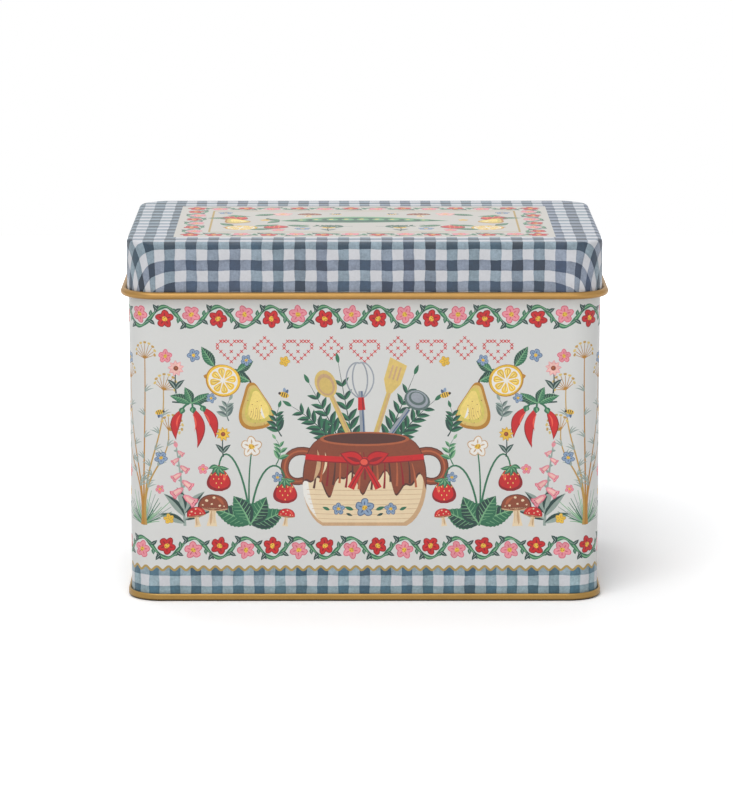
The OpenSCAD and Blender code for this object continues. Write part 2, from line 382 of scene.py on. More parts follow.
class Motif:
    """Outlines with inks, each laid over those before. Brushes take lengths as shares of its size."""

    def __init__(self, size=1.0):
        self.size = size
        self.shapes = []

    def lay(self, ink, outline):
        """Lays an outline as it is."""
        self.shapes.append((outline, ink))

    def patch(self, ink, points):
        self.lay(ink, np.asarray(points, float) * self.size)

    def oval(self, ink, x, y, rx, ry, *form):
        x, y, rx, ry = np.multiply((x, y, rx, ry), self.size)
        self.lay(ink, oval(x, y, rx, ry, *form))

    def leaf(self, ink, x, y, length, width, *form, **edges):
        x, y, length, width = np.multiply((x, y, length, width), self.size)
        self.lay(ink, leaf(x, y, length, width, *form, **edges))

    def stroke(self, ink, points, start, end=None, steps=12):
        start, end = start * self.size, (start if end is None else end) * self.size
        self.lay(ink, stroke(np.asarray(points, float) * self.size, start, end, steps))

    def add(self, other, x=0.0, y=0.0, turn=0.0, size=1.0):
        """Lays another motif on top: scaled or mirrored, turned, then moved."""
        spot = np.multiply((x, y), self.size)
        self.shapes += [(turned(outline * np.array(size), turn) + spot, ink) for outline, ink in other.shapes]
        return self

    def add_both(self, half):
        """Lays a motif on the right, and its mirror image on the left."""
        return self.add(half).add(half, size=MIRROR)

    def shaded(self, outline, inks, shift, shrink):
        """A form in ever smaller and lighter copies of its outline, each moved towards the light."""
        outline, shift = np.asarray(outline) * self.size, np.array(shift) * self.size
        centre = outline.mean(0)
        for k, ink in enumerate(inks):
            self.lay(ink, centre + (outline - centre) * (1 - shrink * k) + shift * k)

    def blossom(self, x, y, r, petal, edge=None, turn=0.3):
        """Flower from the front: five petals on a circle, dark at the rim and streaked to a dotted heart."""
        x, y, r = np.multiply((x, y, r), self.size)
        edge = edge or PETAL_EDGE[petal]
        rows = [(a, *ray(a, r)) for a in turn + TAU * np.arange(5) / 5]
        petals = ((edge, 0.6, 0.47, 0.42, 0.12, 12), (petal, 0.57, 0.4, 0.34, 0.16, 11))
        for ink, away, long, wide, wobble, steps in petals:
            for a, px, py in rows:
                self.lay(ink, oval(x + away * px, y + away * py, long * r, wide * r, a, wobble, steps))
        for a, px, py in rows:
            self.lay(edge, leaf(x + 0.25 * px, y + 0.25 * py, 0.5 * r, 0.15 * r, a, 0.05, 5))
        self.lay("yellow", oval(x, y, 0.3 * r, 0.27 * r, turn, 0.14, 10))
        for _, px, py in rows[::2]:
            self.lay("brown", oval(x + 0.17 * px, y + 0.17 * py, 0.07 * r, 0.06 * r, 0, 0, 5))

    def veined_leaf(self, x, y, length, width, turn, bow=0.0):
        """Toothed leaf, shaded on one half, with a middle rib and fine side ribs that slant to the tip."""
        self.leaf("green", x, y, length, width, turn, bow, 22, teeth=0.05)
        x, y, length, width = np.multiply((x, y, length, width), self.size)
        self.lay("pine", leaf(x, y, 0.97 * length, 0.9 * width, turn, bow, 16, low=0.0))
        thin = max(0.022 * width + 0.1, 0.14)
        t = np.linspace(0.01, 0.95, 10)
        middle = np.stack([length * t, 4 * bow * length * t * (1 - t)], 1)
        veins = [ribbon(middle, thin * (1.2 - 0.7 * t[:, None]))]
        for k in range(6):
            t = 0.12 + 0.7 * k / 6
            foot = np.array([t * length, 4 * bow * t * (1 - t) * length])
            for side in (-1, 1):
                out = side * 0.4 * width * math.sin(math.pi * t**0.85)
                rib = [foot, foot + (0.06 * length, 0.55 * out), foot + (0.13 * length, out)]
                veins.append(stroke(rib, thin, 0.5 * thin, 4))
        for vein in veins:
            self.lay("mint", turned(vein, turn) + (x, y))

    def sprig(self, points, pairs, length, width, ink, dark, stem="slate", spread=0.85):
        """Stem with leaves in pairs, shorter towards the tip, each with a darker half, and one at its end."""
        path = curve(points, 40)
        self.stroke(stem, points, 0.075 * length + 0.12, 0.12, 14)
        for k in range(pairs):
            i = int(39 * (0.22 + 0.7 * k / pairs))
            heading = math.atan2(*(path[min(i + 1, 39)] - path[i - 1])[::-1])
            grow = 1 - 0.45 * k / pairs
            for side in (-1, 1):
                a = heading + side * spread
                self.leaf(ink, *path[i], length * grow, width * grow, a, -0.06 * side)
                self.leaf(dark, *path[i], length * grow * 0.96, width * grow * 0.9, a, -0.06 * side, low=0.0)
        heading = math.atan2(*(path[-1] - path[-3])[::-1])
        self.leaf(ink, *path[-1], 0.6 * length, 0.6 * width, heading)

    def stitches(self, mask, x, y, pitch):
        """Cross stitch: two short threads, crossed, at every place of a grid that the mask names."""
        arm = 0.44 * pitch
        for i, j in mask:
            for slant in (-arm, arm):
                thread = stroke([(-arm, -slant), (arm, slant)], 0.25 * pitch, steps=2)
                self.lay("red", thread + (x + i * pitch, y + j * pitch))


def pear(h):
    """Pear: a curve from the round base to a narrow neck, in four tones, with freckles, stalk and leaf."""
    art = Motif(h)
    art.stroke("umber", [(0, 0.95), (0.01, 1.08), (0.08, 1.17)], 0.045, 0.035, 6)
    art.veined_leaf(0.02, 1.03, 0.58, 0.27, 0.45, 0.08)
    side = curve([(0, 0), (0.34, -0.03), (0.6, 0.2), (0.3, 0.62), (0.12, 0.6), (0.2, 1.03), (0, 1)], 22)
    outline = np.concatenate([side, side[1:-1][::-1] * MIRROR])
    art.shaded(outline, ["ochre", "straw", "pear", "lemon"], (-0.022, 0.004), 0.13)
    for k in range(6):
        art.leaf("straw", 0.06 + 0.035 * k, 0.06 + 0.045 * k, 0.5 - 0.05 * k, 0.022, 1.8 + 0.04 * k, 0.16)
    art.leaf("milk", -0.17, 0.2, 0.26, 0.05, 1.45, -0.1)
    for k in range(12):
        art.oval("brown", -0.14 + 0.037 * (k * 5 % 8), (0.1 + 0.055 * k) * 0.9, 0.011, 0.011, 0, 0, 5)
    return art


def strawberry(h):
    """Strawberry hanging tip down from its cap of leaves, lit from the left, with rows of pips."""
    art = Motif(h)
    t = np.linspace(0.01, 0.99, 14)
    side = np.stack([0.45 * np.sin(math.pi * t**0.6) ** 0.8, t - 1], 1)
    art.shaded(there_and_back(side), ["deep_red", "red"], (-0.03, 0.02), 0.16)
    art.leaf("coral", -0.2, -0.62, 0.38, 0.12, 1.5, 0.08)
    for row, count in enumerate((1, 2, 3, 4, 3)):
        for k in range(count):
            art.leaf("lemon", (k - (count - 1) / 2) * 0.19, 0.16 * row - 0.88, 0.07, 0.04, math.pi / 2, 0, 5)
    for k in range(5):
        art.leaf("green", 0, -0.05, 0.4, 0.16, 0.66 * k - 2.9, 0.1, 7)
        art.leaf("mint", 0, -0.05, 0.32, 0.05, 0.66 * k - 2.9, 0.1, 5)
    return art


def strawberry_plant(h):
    """Two berries and a flower on arching stems, over broad leaves."""
    art = Motif(h)
    for bend, tip in ((-0.34, 0.72), (0.3, 0.9)):
        stem = [(0, 0.05), (0.2 * bend, 0.75), (bend, 1.12 * tip), (1.15 * bend, 0.74 * tip)]
        art.stroke("green", stem, 0.024, 0.018, 14)
        art.add(strawberry(0.3 * h), 1.15 * bend, 0.77 * tip)
    art.stroke("green", [(0, 0), (0.03, 0.5), (-0.02, 0.84)], 0.022, 0.014)
    art.blossom(-0.02, 0.9, 0.115, "milk", "tan")
    for a, length in ((2.75, 0.42), (0.4, 0.44), (2.1, 0.36), (1.05, 0.37)):
        art.veined_leaf(0, 0.02, length, 0.23, a, 0.04)
    return art


def lemon(r):
    """Half a lemon from the cut side, rind, pith and eight segments, before two leaves."""
    art = Motif(r)
    art.veined_leaf(0.7, 0.7, 1.5, 0.68, 0.75)
    art.veined_leaf(-0.7, 0.75, 1.2, 0.56, 2.3)
    art.leaf("ochre", 0.9, 0, 0.34, 0.3, 0)
    art.oval("ochre", 0, 0, 1.08, 1, 0, 0.02, 28)
    art.oval("yellow", -0.02, 0.02, 1.02, 0.95, 0, 0.02, 26)
    art.oval("milk", 0, 0, 0.9, 0.84, 0, 0, 24)
    segment = Motif(r)
    side = np.array([(0.13, 0), (0.55, 0.2), (0.7, 0.2), (0.79, 0.1)])
    wedge = np.concatenate([side, side[:0:-1] * (1, -1)])
    segment.patch("yellow", wedge)
    segment.patch("lemon", wedge * 0.62 + (0.19, 0.02))
    segment.stroke("ochre", [(0.3, 0), (0.66, 0.02)], 0.03, 0.04, 2)
    for k in range(8):
        art.add(segment, turn=TAU * (k + 0.5) / 8)
    return art


def mushroom(h, cap="brown"):
    """Mushroom: a flared stem, gills as a flat ellipse with lines, and a domed cap with pale spots."""
    art = Motif(h)
    dark, light = {"brown": ("umber", "rust"), "red": ("deep_red", "coral")}[cap]
    art.patch("cream", [(-0.15, 0), (0.17, 0), (0.1, 0.3), (0.11, 0.6), (-0.11, 0.6), (-0.09, 0.3)])
    art.leaf("tan", 0.05, 0.03, 0.52, 0.08, 1.6)
    for k in range(4):
        art.stroke("tan", [((k - 1.5) * 0.05, 0.1), ((k - 1.5) * 0.035, 0.48)], 0.012, steps=2)
    art.oval("tan", 0, 0.57, 0.46, 0.1, 0, 0, 18)
    for k in range(11):
        x = (k - 5) * 0.075
        art.stroke("brown", [(0.25 * x, 0.5), (x, 0.56)], 0.014, steps=2)
    a = np.linspace(0, math.pi, 16)
    dome = np.stack([0.46 * np.cos(a), 0.56 + 0.42 * np.sin(a) ** 0.8], 1)
    art.patch(dark, dome)
    art.patch(cap, dome * 0.93 + (-0.012, 0.048))
    art.leaf(light, -0.32, 0.66, 0.36, 0.09, 0.75, 0.1)
    spots = ((-0.02, 0.88, 0.045), (0.2, 0.78, 0.05), (0.31, 0.64, 0.03), (-0.2, 0.64, 0.04))
    for x, y, r in (*spots, (0.04, 0.68, 0.035), (-0.33, 0.63, 0.024)):
        art.oval("cream", x, y, r, 0.8 * r, 0, 0.1, 9)
    return art


def dill(h):
    """Dill in flower: bowed stems from a clump of fine leaves, each ending in an umbel with seeds."""
    art = Motif()
    foot = -4.4
    for k in range(13):
        for j in range(3):
            tip = ray(0.35 + 0.2 * k + 0.14 * (j - 1)) * (7.5 + 2.6 * (k % 3) - 0.8 * j)
            thread = [(0, foot), (0.5 * tip[0], 0.35 * tip[1] - 3.4), tip + (0, foot)]
            art.stroke(("sage", "green", "mint")[(k + j) % 3], thread, 0.42, 0.2, 8)
    heads = ((-0.02, 1.0, 0.0), (-0.14, 0.8, 0.35), (0.12, 0.86, -0.3), (-0.17, 0.54, 0.6), (0.16, 0.6, -0.5))
    for n, (dx, top, lean) in enumerate(heads):
        tip = np.array([dx * h, top * h])
        stem = [(0.1 * dx * h, foot), (-0.15 * dx * h, 0.3 * h), (1.1 * dx * h, 0.55 * top * h), tip]
        path = curve(stem, 30)
        art.stroke("gold" if n % 2 else "ochre", stem, 0.75, 0.36, 18)
        for k in range(5):
            side = 1 if k % 2 else -1
            for out in (0.35, 0.75, 1.15):
                a = math.pi / 2 - side * out
                art.leaf("sage", *path[8 + 4 * k], (0.055 + 0.012 * out) * h, 0.42, a, 0.1 * side, 5)
        for k in range(9):
            a = math.pi / 2 + lean + (k - 4) * 0.3
            end = tip + ray(a, 0.095 * h * (1 - 0.022 * (k - 4) ** 2))
            art.stroke("ochre", [tip, tip + 0.5 * (end - tip) + (0, 0.1), end], 0.26, 0.2, 4)
            for spread in (-0.5, 0, 0.5):
                seed = end + ray(a + spread, 0.55)
                art.oval("straw" if (k + n) % 2 else "gold", *seed, 0.44, 0.32, a + spread, 0.1, 6)
    return art


def bee(r):
    """Bee from the side: two wings, a striped body and a head."""
    art = Motif(r)
    art.oval("blue", 0.1, 0.75, 0.75, 0.34, 1.1, 0, 10)
    art.oval("dusk", -0.35, 0.72, 0.6, 0.28, 1.7, 0, 10)
    art.oval("yellow", 0, 0, 1, 0.58, 0, 0.03, 14)
    art.oval("dark", 0.95, 0.05, 0.3, 0.3, 0, 0, 8)
    for k in range(3):
        x = 0.45 * k - 0.55
        tall = 0.5 * math.sqrt(1 - x**2)
        art.stroke("dark", [(x, -tall), (x + 0.06, 0), (x, tall)], 0.19, 0.17, 4)
    return art


def daisy(h, ink="yellow"):
    """Flower with nine narrow petals on a stem with two leaves."""
    art = Motif(h)
    art.stroke("pine", [(0, 0), (0.05, 0.4), (0, 0.8)], 0.04 + 0.1 / h, 0.02 + 0.1 / h, 6)
    for a, bow in ((0.9, 0.1), (2.3, -0.1)):
        art.leaf("pine", 0.01, 0.12, 0.42, 0.15, a, bow)
        art.leaf("sage", 0.01, 0.12, 0.38, 0.04, a, bow)
    for tone, length, width in ((PETAL_EDGE[ink], 0.26, 0.14), (ink, 0.24, 0.09)):
        for k in range(9):
            art.leaf(tone, 0, 0.8, length, width, TAU * k / 9 + 0.1, 0, 6)
    art.oval("brown", 0, 0.8, 0.08, 0.08, 0, 0, 9)
    art.oval("rust", -0.01, 0.81, 0.04, 0.04, 0, 0, 6)
    return art


def bell(length):
    """Bell of a foxglove, its mouth to the right: a flared outline, a pale streak and three freckles."""
    art = Motif(length)
    side = np.array([(0, -0.1), (0.35, -0.24), (0.75, -0.27), (1.0, -0.42), (1.1, -0.2)])
    outline = np.concatenate([side, [(1.04, 0)], side[::-1] * (1, -1)])
    art.patch("rose", outline)
    art.patch("pink", outline * (0.92, 0.84) + (0.03, 0))
    art.stroke("blush", [(0.2, 0), (0.8, 0.04)], 0.16, 0.3, 4)
    for row in (-1, 0, 1):
        art.oval("deep_red", 0.86, row * 0.14, 0.04, 0.04, 0, 0, 5)
    return art


def foxglove(h):
    """Leaning spike of bells, larger towards the foot, with long two-toned leaves under them."""
    art = Motif(h)
    art.stroke("sage", [(0, 0), (0.02, 0.5), (0.1, 1)], 0.035, 0.015)
    for k, (a, length) in enumerate(((0.35, 0.34), (2.8, 0.36), (0.85, 0.38), (2.3, 0.36), (1.25, 0.3))):
        bow = 0.06 if a < 1.5 else -0.06
        art.leaf("sage", 0, 0.03 + 0.04 * k, length, 0.1, a, bow, 10)
        art.leaf("pine", 0, 0.03 + 0.04 * k, 0.97 * length, 0.092, a, bow, 10, low=0.1)
    for k in range(7):
        t = 0.34 + 0.09 * k
        spot = (0.1 * t * t, t + 0.03)
        a = (0.95 if k % 2 else -0.95) - math.pi / 2
        art.add(bell(h * (0.165 - 0.014 * k)), *spot, a)
        art.leaf("sage", *spot, 0.05, 0.03, a + 2.6, 0, 5)
    art.leaf("pink", 0.09, 0.95, 0.09, 0.05, 1.3)
    return art


def chillies(h):
    """Three chilli pods on one twig: long curved points under green caps, each with a streak of light."""
    art = Motif(h)
    art.stroke("pine", [(-0.36, 0.98), (0, 0.94), (0.4, 1.02)], 0.05, 0.03, 8)
    for a, length in ((2.7, 0.42), (0.45, 0.46), (1.3, 0.36)):
        art.veined_leaf(0.02, 0.95, length, 0.19, a, 0.06)
    for lean, length in ((-0.3, 0.7), (0.32, 0.66), (0.0, 0.84)):
        x, top, a = 0.62 * lean, 0.86, lean - math.pi / 2
        bow = 0.13 if lean > 0 else -0.13
        art.stroke("green", [(0.2 * lean, 0.95), (0.5 * lean, 0.93), (x, top)], 0.035, 0.045, 5)
        art.leaf("deep_red", x, top, length, 0.2, a, bow, 18)
        art.leaf("red", x, top, 0.96 * length, 0.165, a, 1.04 * bow, 18)
        light = Motif(h)
        light.leaf("coral", 0.12, 0.022, 0.45 * length, 0.035, 0, bow, 8)
        art.add(light, x, top, a)
        art.leaf("green", x, top + 0.03, 0.15, 0.13, a, 0, 7)
        art.leaf("mint", x, top, 0.1, 0.04, a + 0.3, 0, 5)
    return art


def utensil(head, length):
    """A kitchen tool, from the foot of its handle up: spoon, spatula, whisk or ladle."""
    art = Motif()
    long = np.array([1, length])
    main, dark = ("straw", "tan") if head in ("spoon", "spatula") else ("steel", "dusk")
    art.stroke(main, [(0, 0), (0, 0.5), (0, 0.74)] * long, 1.9, 1.6, 4)
    art.stroke(dark, [(0.4, 0), (0.4, 0.5), (0.35, 0.74)] * long, 0.5, 0.4, 4)
    tip = 0.86 * length
    if head == "spoon":
        art.shaded(oval(0, tip, 3.6, 5.0, 0, 0.02, 20), ["straw", "tan", "straw"], (-0.1, -0.3), 0.2)
    elif head == "spatula":
        blade = [(-1.0, 0.7), (1.0, 0.7), (3.0, 0.8), (3.2, 0.97), (-3.2, 1), (-3.0, 0.8)]
        art.patch("straw", blade * long)
        for x in (-1.4, 0, 1.4):
            art.stroke("tan", [(x, 0.82), (x, 0.94)] * long, 0.6, steps=2)
    elif head == "whisk":
        for bulge in (-4.4, -2.4, 2.4, 4.4):
            wire = [(0, 0.66), (2.0 * bulge, 0.8), (0.7 * bulge, 1.06), (0, 1.0)]
            art.stroke("steel", wire * long, 0.5, steps=14)
        art.stroke("red", [(0, 0.56), (0, 0.68)] * long, 2.5, 2.0, 2)
        art.stroke("deep_red", [(0.6, 0.56), (0.5, 0.68)] * long, 0.5, 0.4, 2)
    else:
        bowl = oval(0.6, tip, 4.6, 3.5, 0.2, 0.02, 18)
        art.shaded(bowl, ["slate", "steel", "slate", "steel"], (-0.15, 0.25), 0.17)
    return art


def bow_tie():
    """Red ribbon with a bow: a band round the neck, two loops, two ends and a knot."""
    art = Motif()
    upper, lower = [(-20.2, 25.4), (0, 22.8), (20.2, 25.4)], [(20.5, 23.2), (0, 20.6), (-20.5, 23.2)]
    band = np.concatenate([curve(upper), curve(lower)])
    art.patch("deep_red", band)
    art.patch("red", band * (1, 0.86) + (0, 3.5))
    for side in (-1, 1):
        a = 0.35 if side > 0 else math.pi - 0.35
        art.leaf("deep_red", 0, 22.4, 9.0, 5.0, a, 0, 12)
        art.leaf("red", 0.3 * side, 22.6, 8.2, 4.0, a, 0, 12)
        art.leaf("deep_red", side * 1.2, 22.5, 5.4, 1.3, a)
        art.stroke("red", [(0, 22), (2.5 * side, 18), (4.8 * side, 13.2)], 1.3, 2.4, 6)
        art.stroke("deep_red", [(0.3 * side, 21), (2.7 * side, 17.6), (4.9 * side, 13.4)], 0.3, 0.4, 6)
    art.oval("deep_red", 0, 22.3, 1.8, 1.6, 0, 0.05, 12)
    art.oval("coral", -0.2, 22.5, 1.3, 1.1, 0, 0.05, 10)
    return art


def crock():
    """Stoneware crock: cream clay under a brown glaze that runs in tongues, with ears, ribbon and tools."""
    art = Motif()
    for lean, top in ((-19, 50), (17, 53), (-9, 57), (24, 44), (-25, 42)):
        stem = [(0.35 * lean, 26), (0.6 * lean, 36), (lean, top)]
        art.sprig(stem, 6, 6.4, 2.3, "green", "pine", "pine", 0.75)
    tools = (("spoon", 38, 0.42), ("spatula", 40, -0.3), ("whisk", 37, 0.05), ("ladle", 35, -0.62))
    for head, length, tilt in tools:
        art.add(utensil(head, length), 0, 20, tilt)
    for ear in (-1, 1):
        loop = [(19 * ear, 26), (30 * ear, 29), (30 * ear, 13), (21 * ear, 16)]
        for ink, start, end in (("umber", 3.0, 2.6), ("brown", 2.3, 1.9), ("rust", 0.6, 0.5)):
            art.stroke(ink, loop, start, end, 16)
    side = curve([(14.5, 0), (22, 4), (23.5, 17), (21, 30), (14.5, 31)], 16)
    clay = there_and_back(side)
    art.patch("tan", clay)
    art.patch("cream", clay * (0.965, 0.95) + (-0.5, 1.2))
    art.leaf("milk", -16.5, 3, 20, 2.2, 1.7, 0.12)
    for k in range(7):
        y = 2.4 + 1.7 * k
        wide = np.interp(y, side[:, 1], side[:, 0]) - 1.2
        art.stroke("tan", [(-wide, y + 0.3), (-0.3 * wide, y - 0.5), (wide, y + 0.3)], 0.16)
    across = np.linspace(-1, 1, 61)
    run = 15.5 - 3.2 * np.cos(across * 11) - 1.8 * np.cos(across * 23 + 1) - 2.2 * across**2
    wide = np.interp(run, side[:, 1], side[:, 0])
    upper = there_and_back(side[side[:, 1] > 14])
    for ink, drop, inset in (("umber", 0.0, 1.0), ("brown", 0.7, 0.985)):
        tongues = np.stack([across * wide * inset, run + drop], 1)
        tongues = tongues[np.abs(tongues[:, 0]) < 21.4]
        art.patch(ink, np.concatenate([tongues, upper * (inset, 1)]))
    for k in range(17):
        x = 2.2 * k - 17.5
        foot = 14.5 + 1.8 * math.cos(1.3 * x)
        lean = x * 0.94 + 0.5 * math.sin(3 * k)
        streak = [(x, foot), (0.5 * (x + lean) + 0.4, foot + 5), (lean, 26 - 0.0125 * x**2)]
        art.stroke(("umber", "rust", "deep_red")[k % 3], streak, 0.8, 0.25, 7)
    art.leaf("tan", -17.6, 16, 11, 1.5, 1.45, -0.1)
    art.leaf("cream", -14.6, 18, 8, 0.8, 1.45, -0.1)
    art.oval("rust", 0, 30.6, 15.4, 2.5, 0, 0, 30)
    art.oval("umber", 0, 30.7, 14.2, 1.9, 0, 0, 26)
    art.add(bow_tie())
    art.blossom(0, 6.4, 3.2, "blue")
    flower, leaves = Motif(), Motif()
    flower.blossom(9, 6.0, 2.1, "blue")
    leaves.leaf("green", 3.8, 5.6, 3.4, 1.3, 0.35)
    leaves.leaf("green", 12, 5.6, 2.8, 1.1, 0.4)
    leaves.leaf("pine", 6.4, 4.4, 2.4, 0.9, 3.5)
    return art.add_both(flower).add_both(leaves)


def herb_pot():
    """Terracotta pot with a bushy herb."""
    art = Motif()
    for k in range(13):
        tip = ray(math.pi * (0.08 + 0.84 * k / 12), 15 + 2.5 * (k % 2)) + (0, 17)
        stem = [(0, 15), (0.4 * tip[0], 0.5 * tip[1] + 8), tip]
        art.sprig(stem, 4, 6.2, 3.4, "green" if k % 2 else "mint", "pine", "pine", 0.9)
    art.patch("rust", [(-7, 0), (7, 0), (9.4, 13), (-9.4, 13)])
    art.patch("brown", [(3.4, 0), (7, 0), (9.4, 13), (5, 13)])
    art.leaf("blush", -6.6, 1, 11.5, 1.4, 1.72)
    art.patch("brown", [(-10.6, 12.4), (10.6, 12.4), (10.8, 16.4), (-10.8, 16.4)])
    art.patch("rust", [(-10.6, 13.2), (4, 13.2), (4, 15.8), (-10.6, 15.8)])
    art.blossom(-1.2, 6.6, 3.0, "milk", "tan")
    return art


def wreath(r):
    """Ring of leaves with blossoms set in it."""
    art = Motif()
    art.oval("slate", 0, 0, r + 0.25, r + 0.25, 0, 0, 60)
    art.oval("paper", 0, 0, r - 0.25, r - 0.25, 0, 0, 60)
    for k in range(44):
        a = TAU * k / 44
        tilt = 0.7 if k % 2 else -0.7
        form = (*ray(a, r), 7.4, 2.7, a + math.pi / 2 + tilt, 0.05 * tilt)
        art.leaf("green" if k % 3 else "sage", *form)
        art.leaf("pine", *form, low=0.0)
    for k in range(8):
        a = TAU * (k + 0.25) / 8
        art.blossom(*ray(a, r), 3.8, "red" if k % 2 else "pink", turn=a)
    return art


def running_border(first, last):
    """Border of a vine: its height is a sine of the way along, with a red and a pink blossom a wave."""
    art = Motif()
    for k in range(first, last):
        t = np.linspace(-0.01, 1.01, 33)
        path = np.stack([(k + t) * BORDER_WAVE, 3.5 * np.sin(TAU * t)], 1)
        swell = (0.42 + 0.36 * np.cos(2 * TAU * (t - 0.2)) ** 2)[:, None]
        art.lay("green", ribbon(path, swell))
        art.lay("mint", ribbon(path + (0, 0.1), 0.3 * swell))
        twigs = ((0.07, 1.1, 3.0), (0.13, 2.3, 2.6), (0.36, -0.5, 3.0), (0.44, 0.6, 2.8), (0.5, -1.6, 2.4))
        for first_half, away, length in twigs:
            for side, at in ((1, first_half), (-1, first_half + 0.5)):
                x, y = (k + at) * BORDER_WAVE, 3.3 * math.sin(TAU * at)
                art.leaf("pine" if away > 0 else "green", x, y, length, 1.35, side * away, 0.08, 7)
                art.leaf("sage", x, y, 0.8 * length, 0.26, side * away, 0.08, 5)
        art.blossom((k + 0.25) * BORDER_WAVE, -0.75, 3.05, "red", turn=0.5 + k)
        art.blossom((k + 0.75) * BORDER_WAVE, 0.75, 3.0, "pink", turn=1.1 + k)
    return art


GRID = [(i, j) for i in range(-4, 5) for j in range(-4, 4)]
HEART = [(i, j) for i, j in GRID if (abs(i) <= 4 + min(j, 0) and j <= 1) or (j == 2 and 1 <= abs(i) <= 3)]
HEART_LINE = [(i, j) for i, j in HEART if {(i - 1, j), (i + 1, j), (i, j - 1), (i, j + 1)} - set(HEART)]
HEART_LINE.append((0, -1))
DIAMOND = [(i, j) for i, j in GRID if abs(i) + abs(j) in (0, 3)]


def heart_row(y, pitch, count, step):
    """A row of stitched hearts and diamonds, each heart an outline with one stitch in its middle."""
    art = Motif()
    for k in range(-count, count + 1):
        art.stitches(HEART_LINE if k % 2 == 0 else DIAMOND, k * step, y, pitch)
    return art


BRUSH_STEP = 1.2
THIN_EDGE = 0.62
LID_STRIPES = 300
LID_WHITE, FOOT_WHITE = np.array([199, 200, 205]), np.array([202, 204, 206])
VIOLET_COAT, GREEN_COAT = np.array([0.685, 0.73, 0.795]), np.array([0.67, 0.77, 0.795])


def hand_line(way, seed, size=0.14):
    """A brush never runs straight: a sum of three sines of the way along, with seeded phases."""
    a, b, c = np.random.default_rng(seed).uniform(0, TAU, 3)
    waves = np.sin(way * 0.31 + a) + 0.7 * np.sin(way * 0.87 + b) + 0.4 * np.sin(way * 2.1 + c)
    return size * waves / 1.4


def check_stripe(art, axis, index, centre, width, start, end):
    """One painted stripe of the gingham along x or y: wavering edges, and a middle of thinner ink."""
    way = np.arange(start, end + BRUSH_STEP, BRUSH_STEP)
    for part, inset, seed in ((axis, 0, 2 * index), ("thin_" + axis, THIN_EDGE, 2 * index + 5000)):
        low = centre - (width / 2 - inset) + hand_line(way, seed)
        high = centre + (width / 2 - inset) + hand_line(way, seed + 1)
        line = np.concatenate([np.stack([way, high], 1), np.stack([way, low], 1)[::-1]])
        art.lay((part, index), line if axis == "along_x" else line[:, ::-1])


def check_ink(laid):
    """One coat of ink where a stripe lies alone, two where stripes cross. A coat lets through a share of the
    light: violet-grey or green-grey by the stripe's tone, less of it where the brush was full."""
    through = np.ones(3)
    coats = [laid[axis] for axis in ("along_x", "along_y") if axis in laid]
    on_lid_sheet = min(coats) >= LID_STRIPES
    white = LID_WHITE if on_lid_sheet else FOOT_WHITE
    for index in coats:
        full, green = np.random.default_rng(1000 + index).uniform(0, 1, 2)
        green = 0.75 * green if on_lid_sheet else 0.5 + 0.5 * green
        tone = VIOLET_COAT * (1 - green) + GREEN_COAT * green
        through = through * (tone * (0.93 if on_lid_sheet else 1.03) - 0.09 * (full - 0.5))
    thinner = 1 + 0.04 * sum(axis.startswith("thin") for axis in laid)
    if len(coats) < 2:
        return white * through * thinner
    cell = np.random.default_rng(7 * coats[0] + 131 * coats[1]).uniform(0, 1, 2)
    fuller = 1.45 + 0.75 * cell[0] if on_lid_sheet else 1.28 + 0.4 * cell[0]
    deep = through**fuller * np.array([1 - 0.08 * cell[1], 1.0, 1 + 0.04 * cell[1]])
    return white * deep * thinner


# The ink's alpha says how unevenly it lies: plain paint hardly at all, the gingham's brushed coats the most
WASH = {"paper": 0.03, "lid_paper": 0.03, "milk": 0.06, "cream": 0.12, "check_white": 0.2}
INK_WASH, CHECK_WASH = 0.3, 0.8
THIN_BRUSH, FULL_BRUSH = 0.93, 1.06
CUT_GRAIN = 1e-5


def cut_sheet(layers, guides, anchor):
    """Cuts the flat sheet along every line of the artwork: its points, its triangles, and the layers over
    each. The cutting is done about an anchor, because it works with short numbers."""
    points, edges, loops, count = [], [], [], 0
    for line, _ in layers:
        twist = np.sum(line[:, 0] * np.roll(line[:, 1], -1) - np.roll(line[:, 0], -1) * line[:, 1])
        points.append(line if twist > 0 else line[::-1])
        loops.append(list(range(count, count + len(line))))
        count += len(line)
    for line in guides:
        points.append(np.asarray(line, float))
        edges += [(i, i + 1) for i in range(count, count + len(line) - 1)]
        count += len(line)
    flat = [Vector(p) for p in np.concatenate(points) - anchor]
    made, _, triangles, _, _, over = delaunay_2d_cdt(flat, edges, loops, 1, CUT_GRAIN, True)
    return np.array(made, float) + anchor, triangles, over


def face_up(sheet, faces):
    """Turns every triangle to wind to the left."""
    a, b, c = (sheet[faces[:, k]] for k in range(3))
    area = (b[:, 0] - a[:, 0]) * (c[:, 1] - a[:, 1]) - (b[:, 1] - a[:, 1]) * (c[:, 0] - a[:, 0])
    return np.where((area < 0)[:, None], faces[:, ::-1], faces)


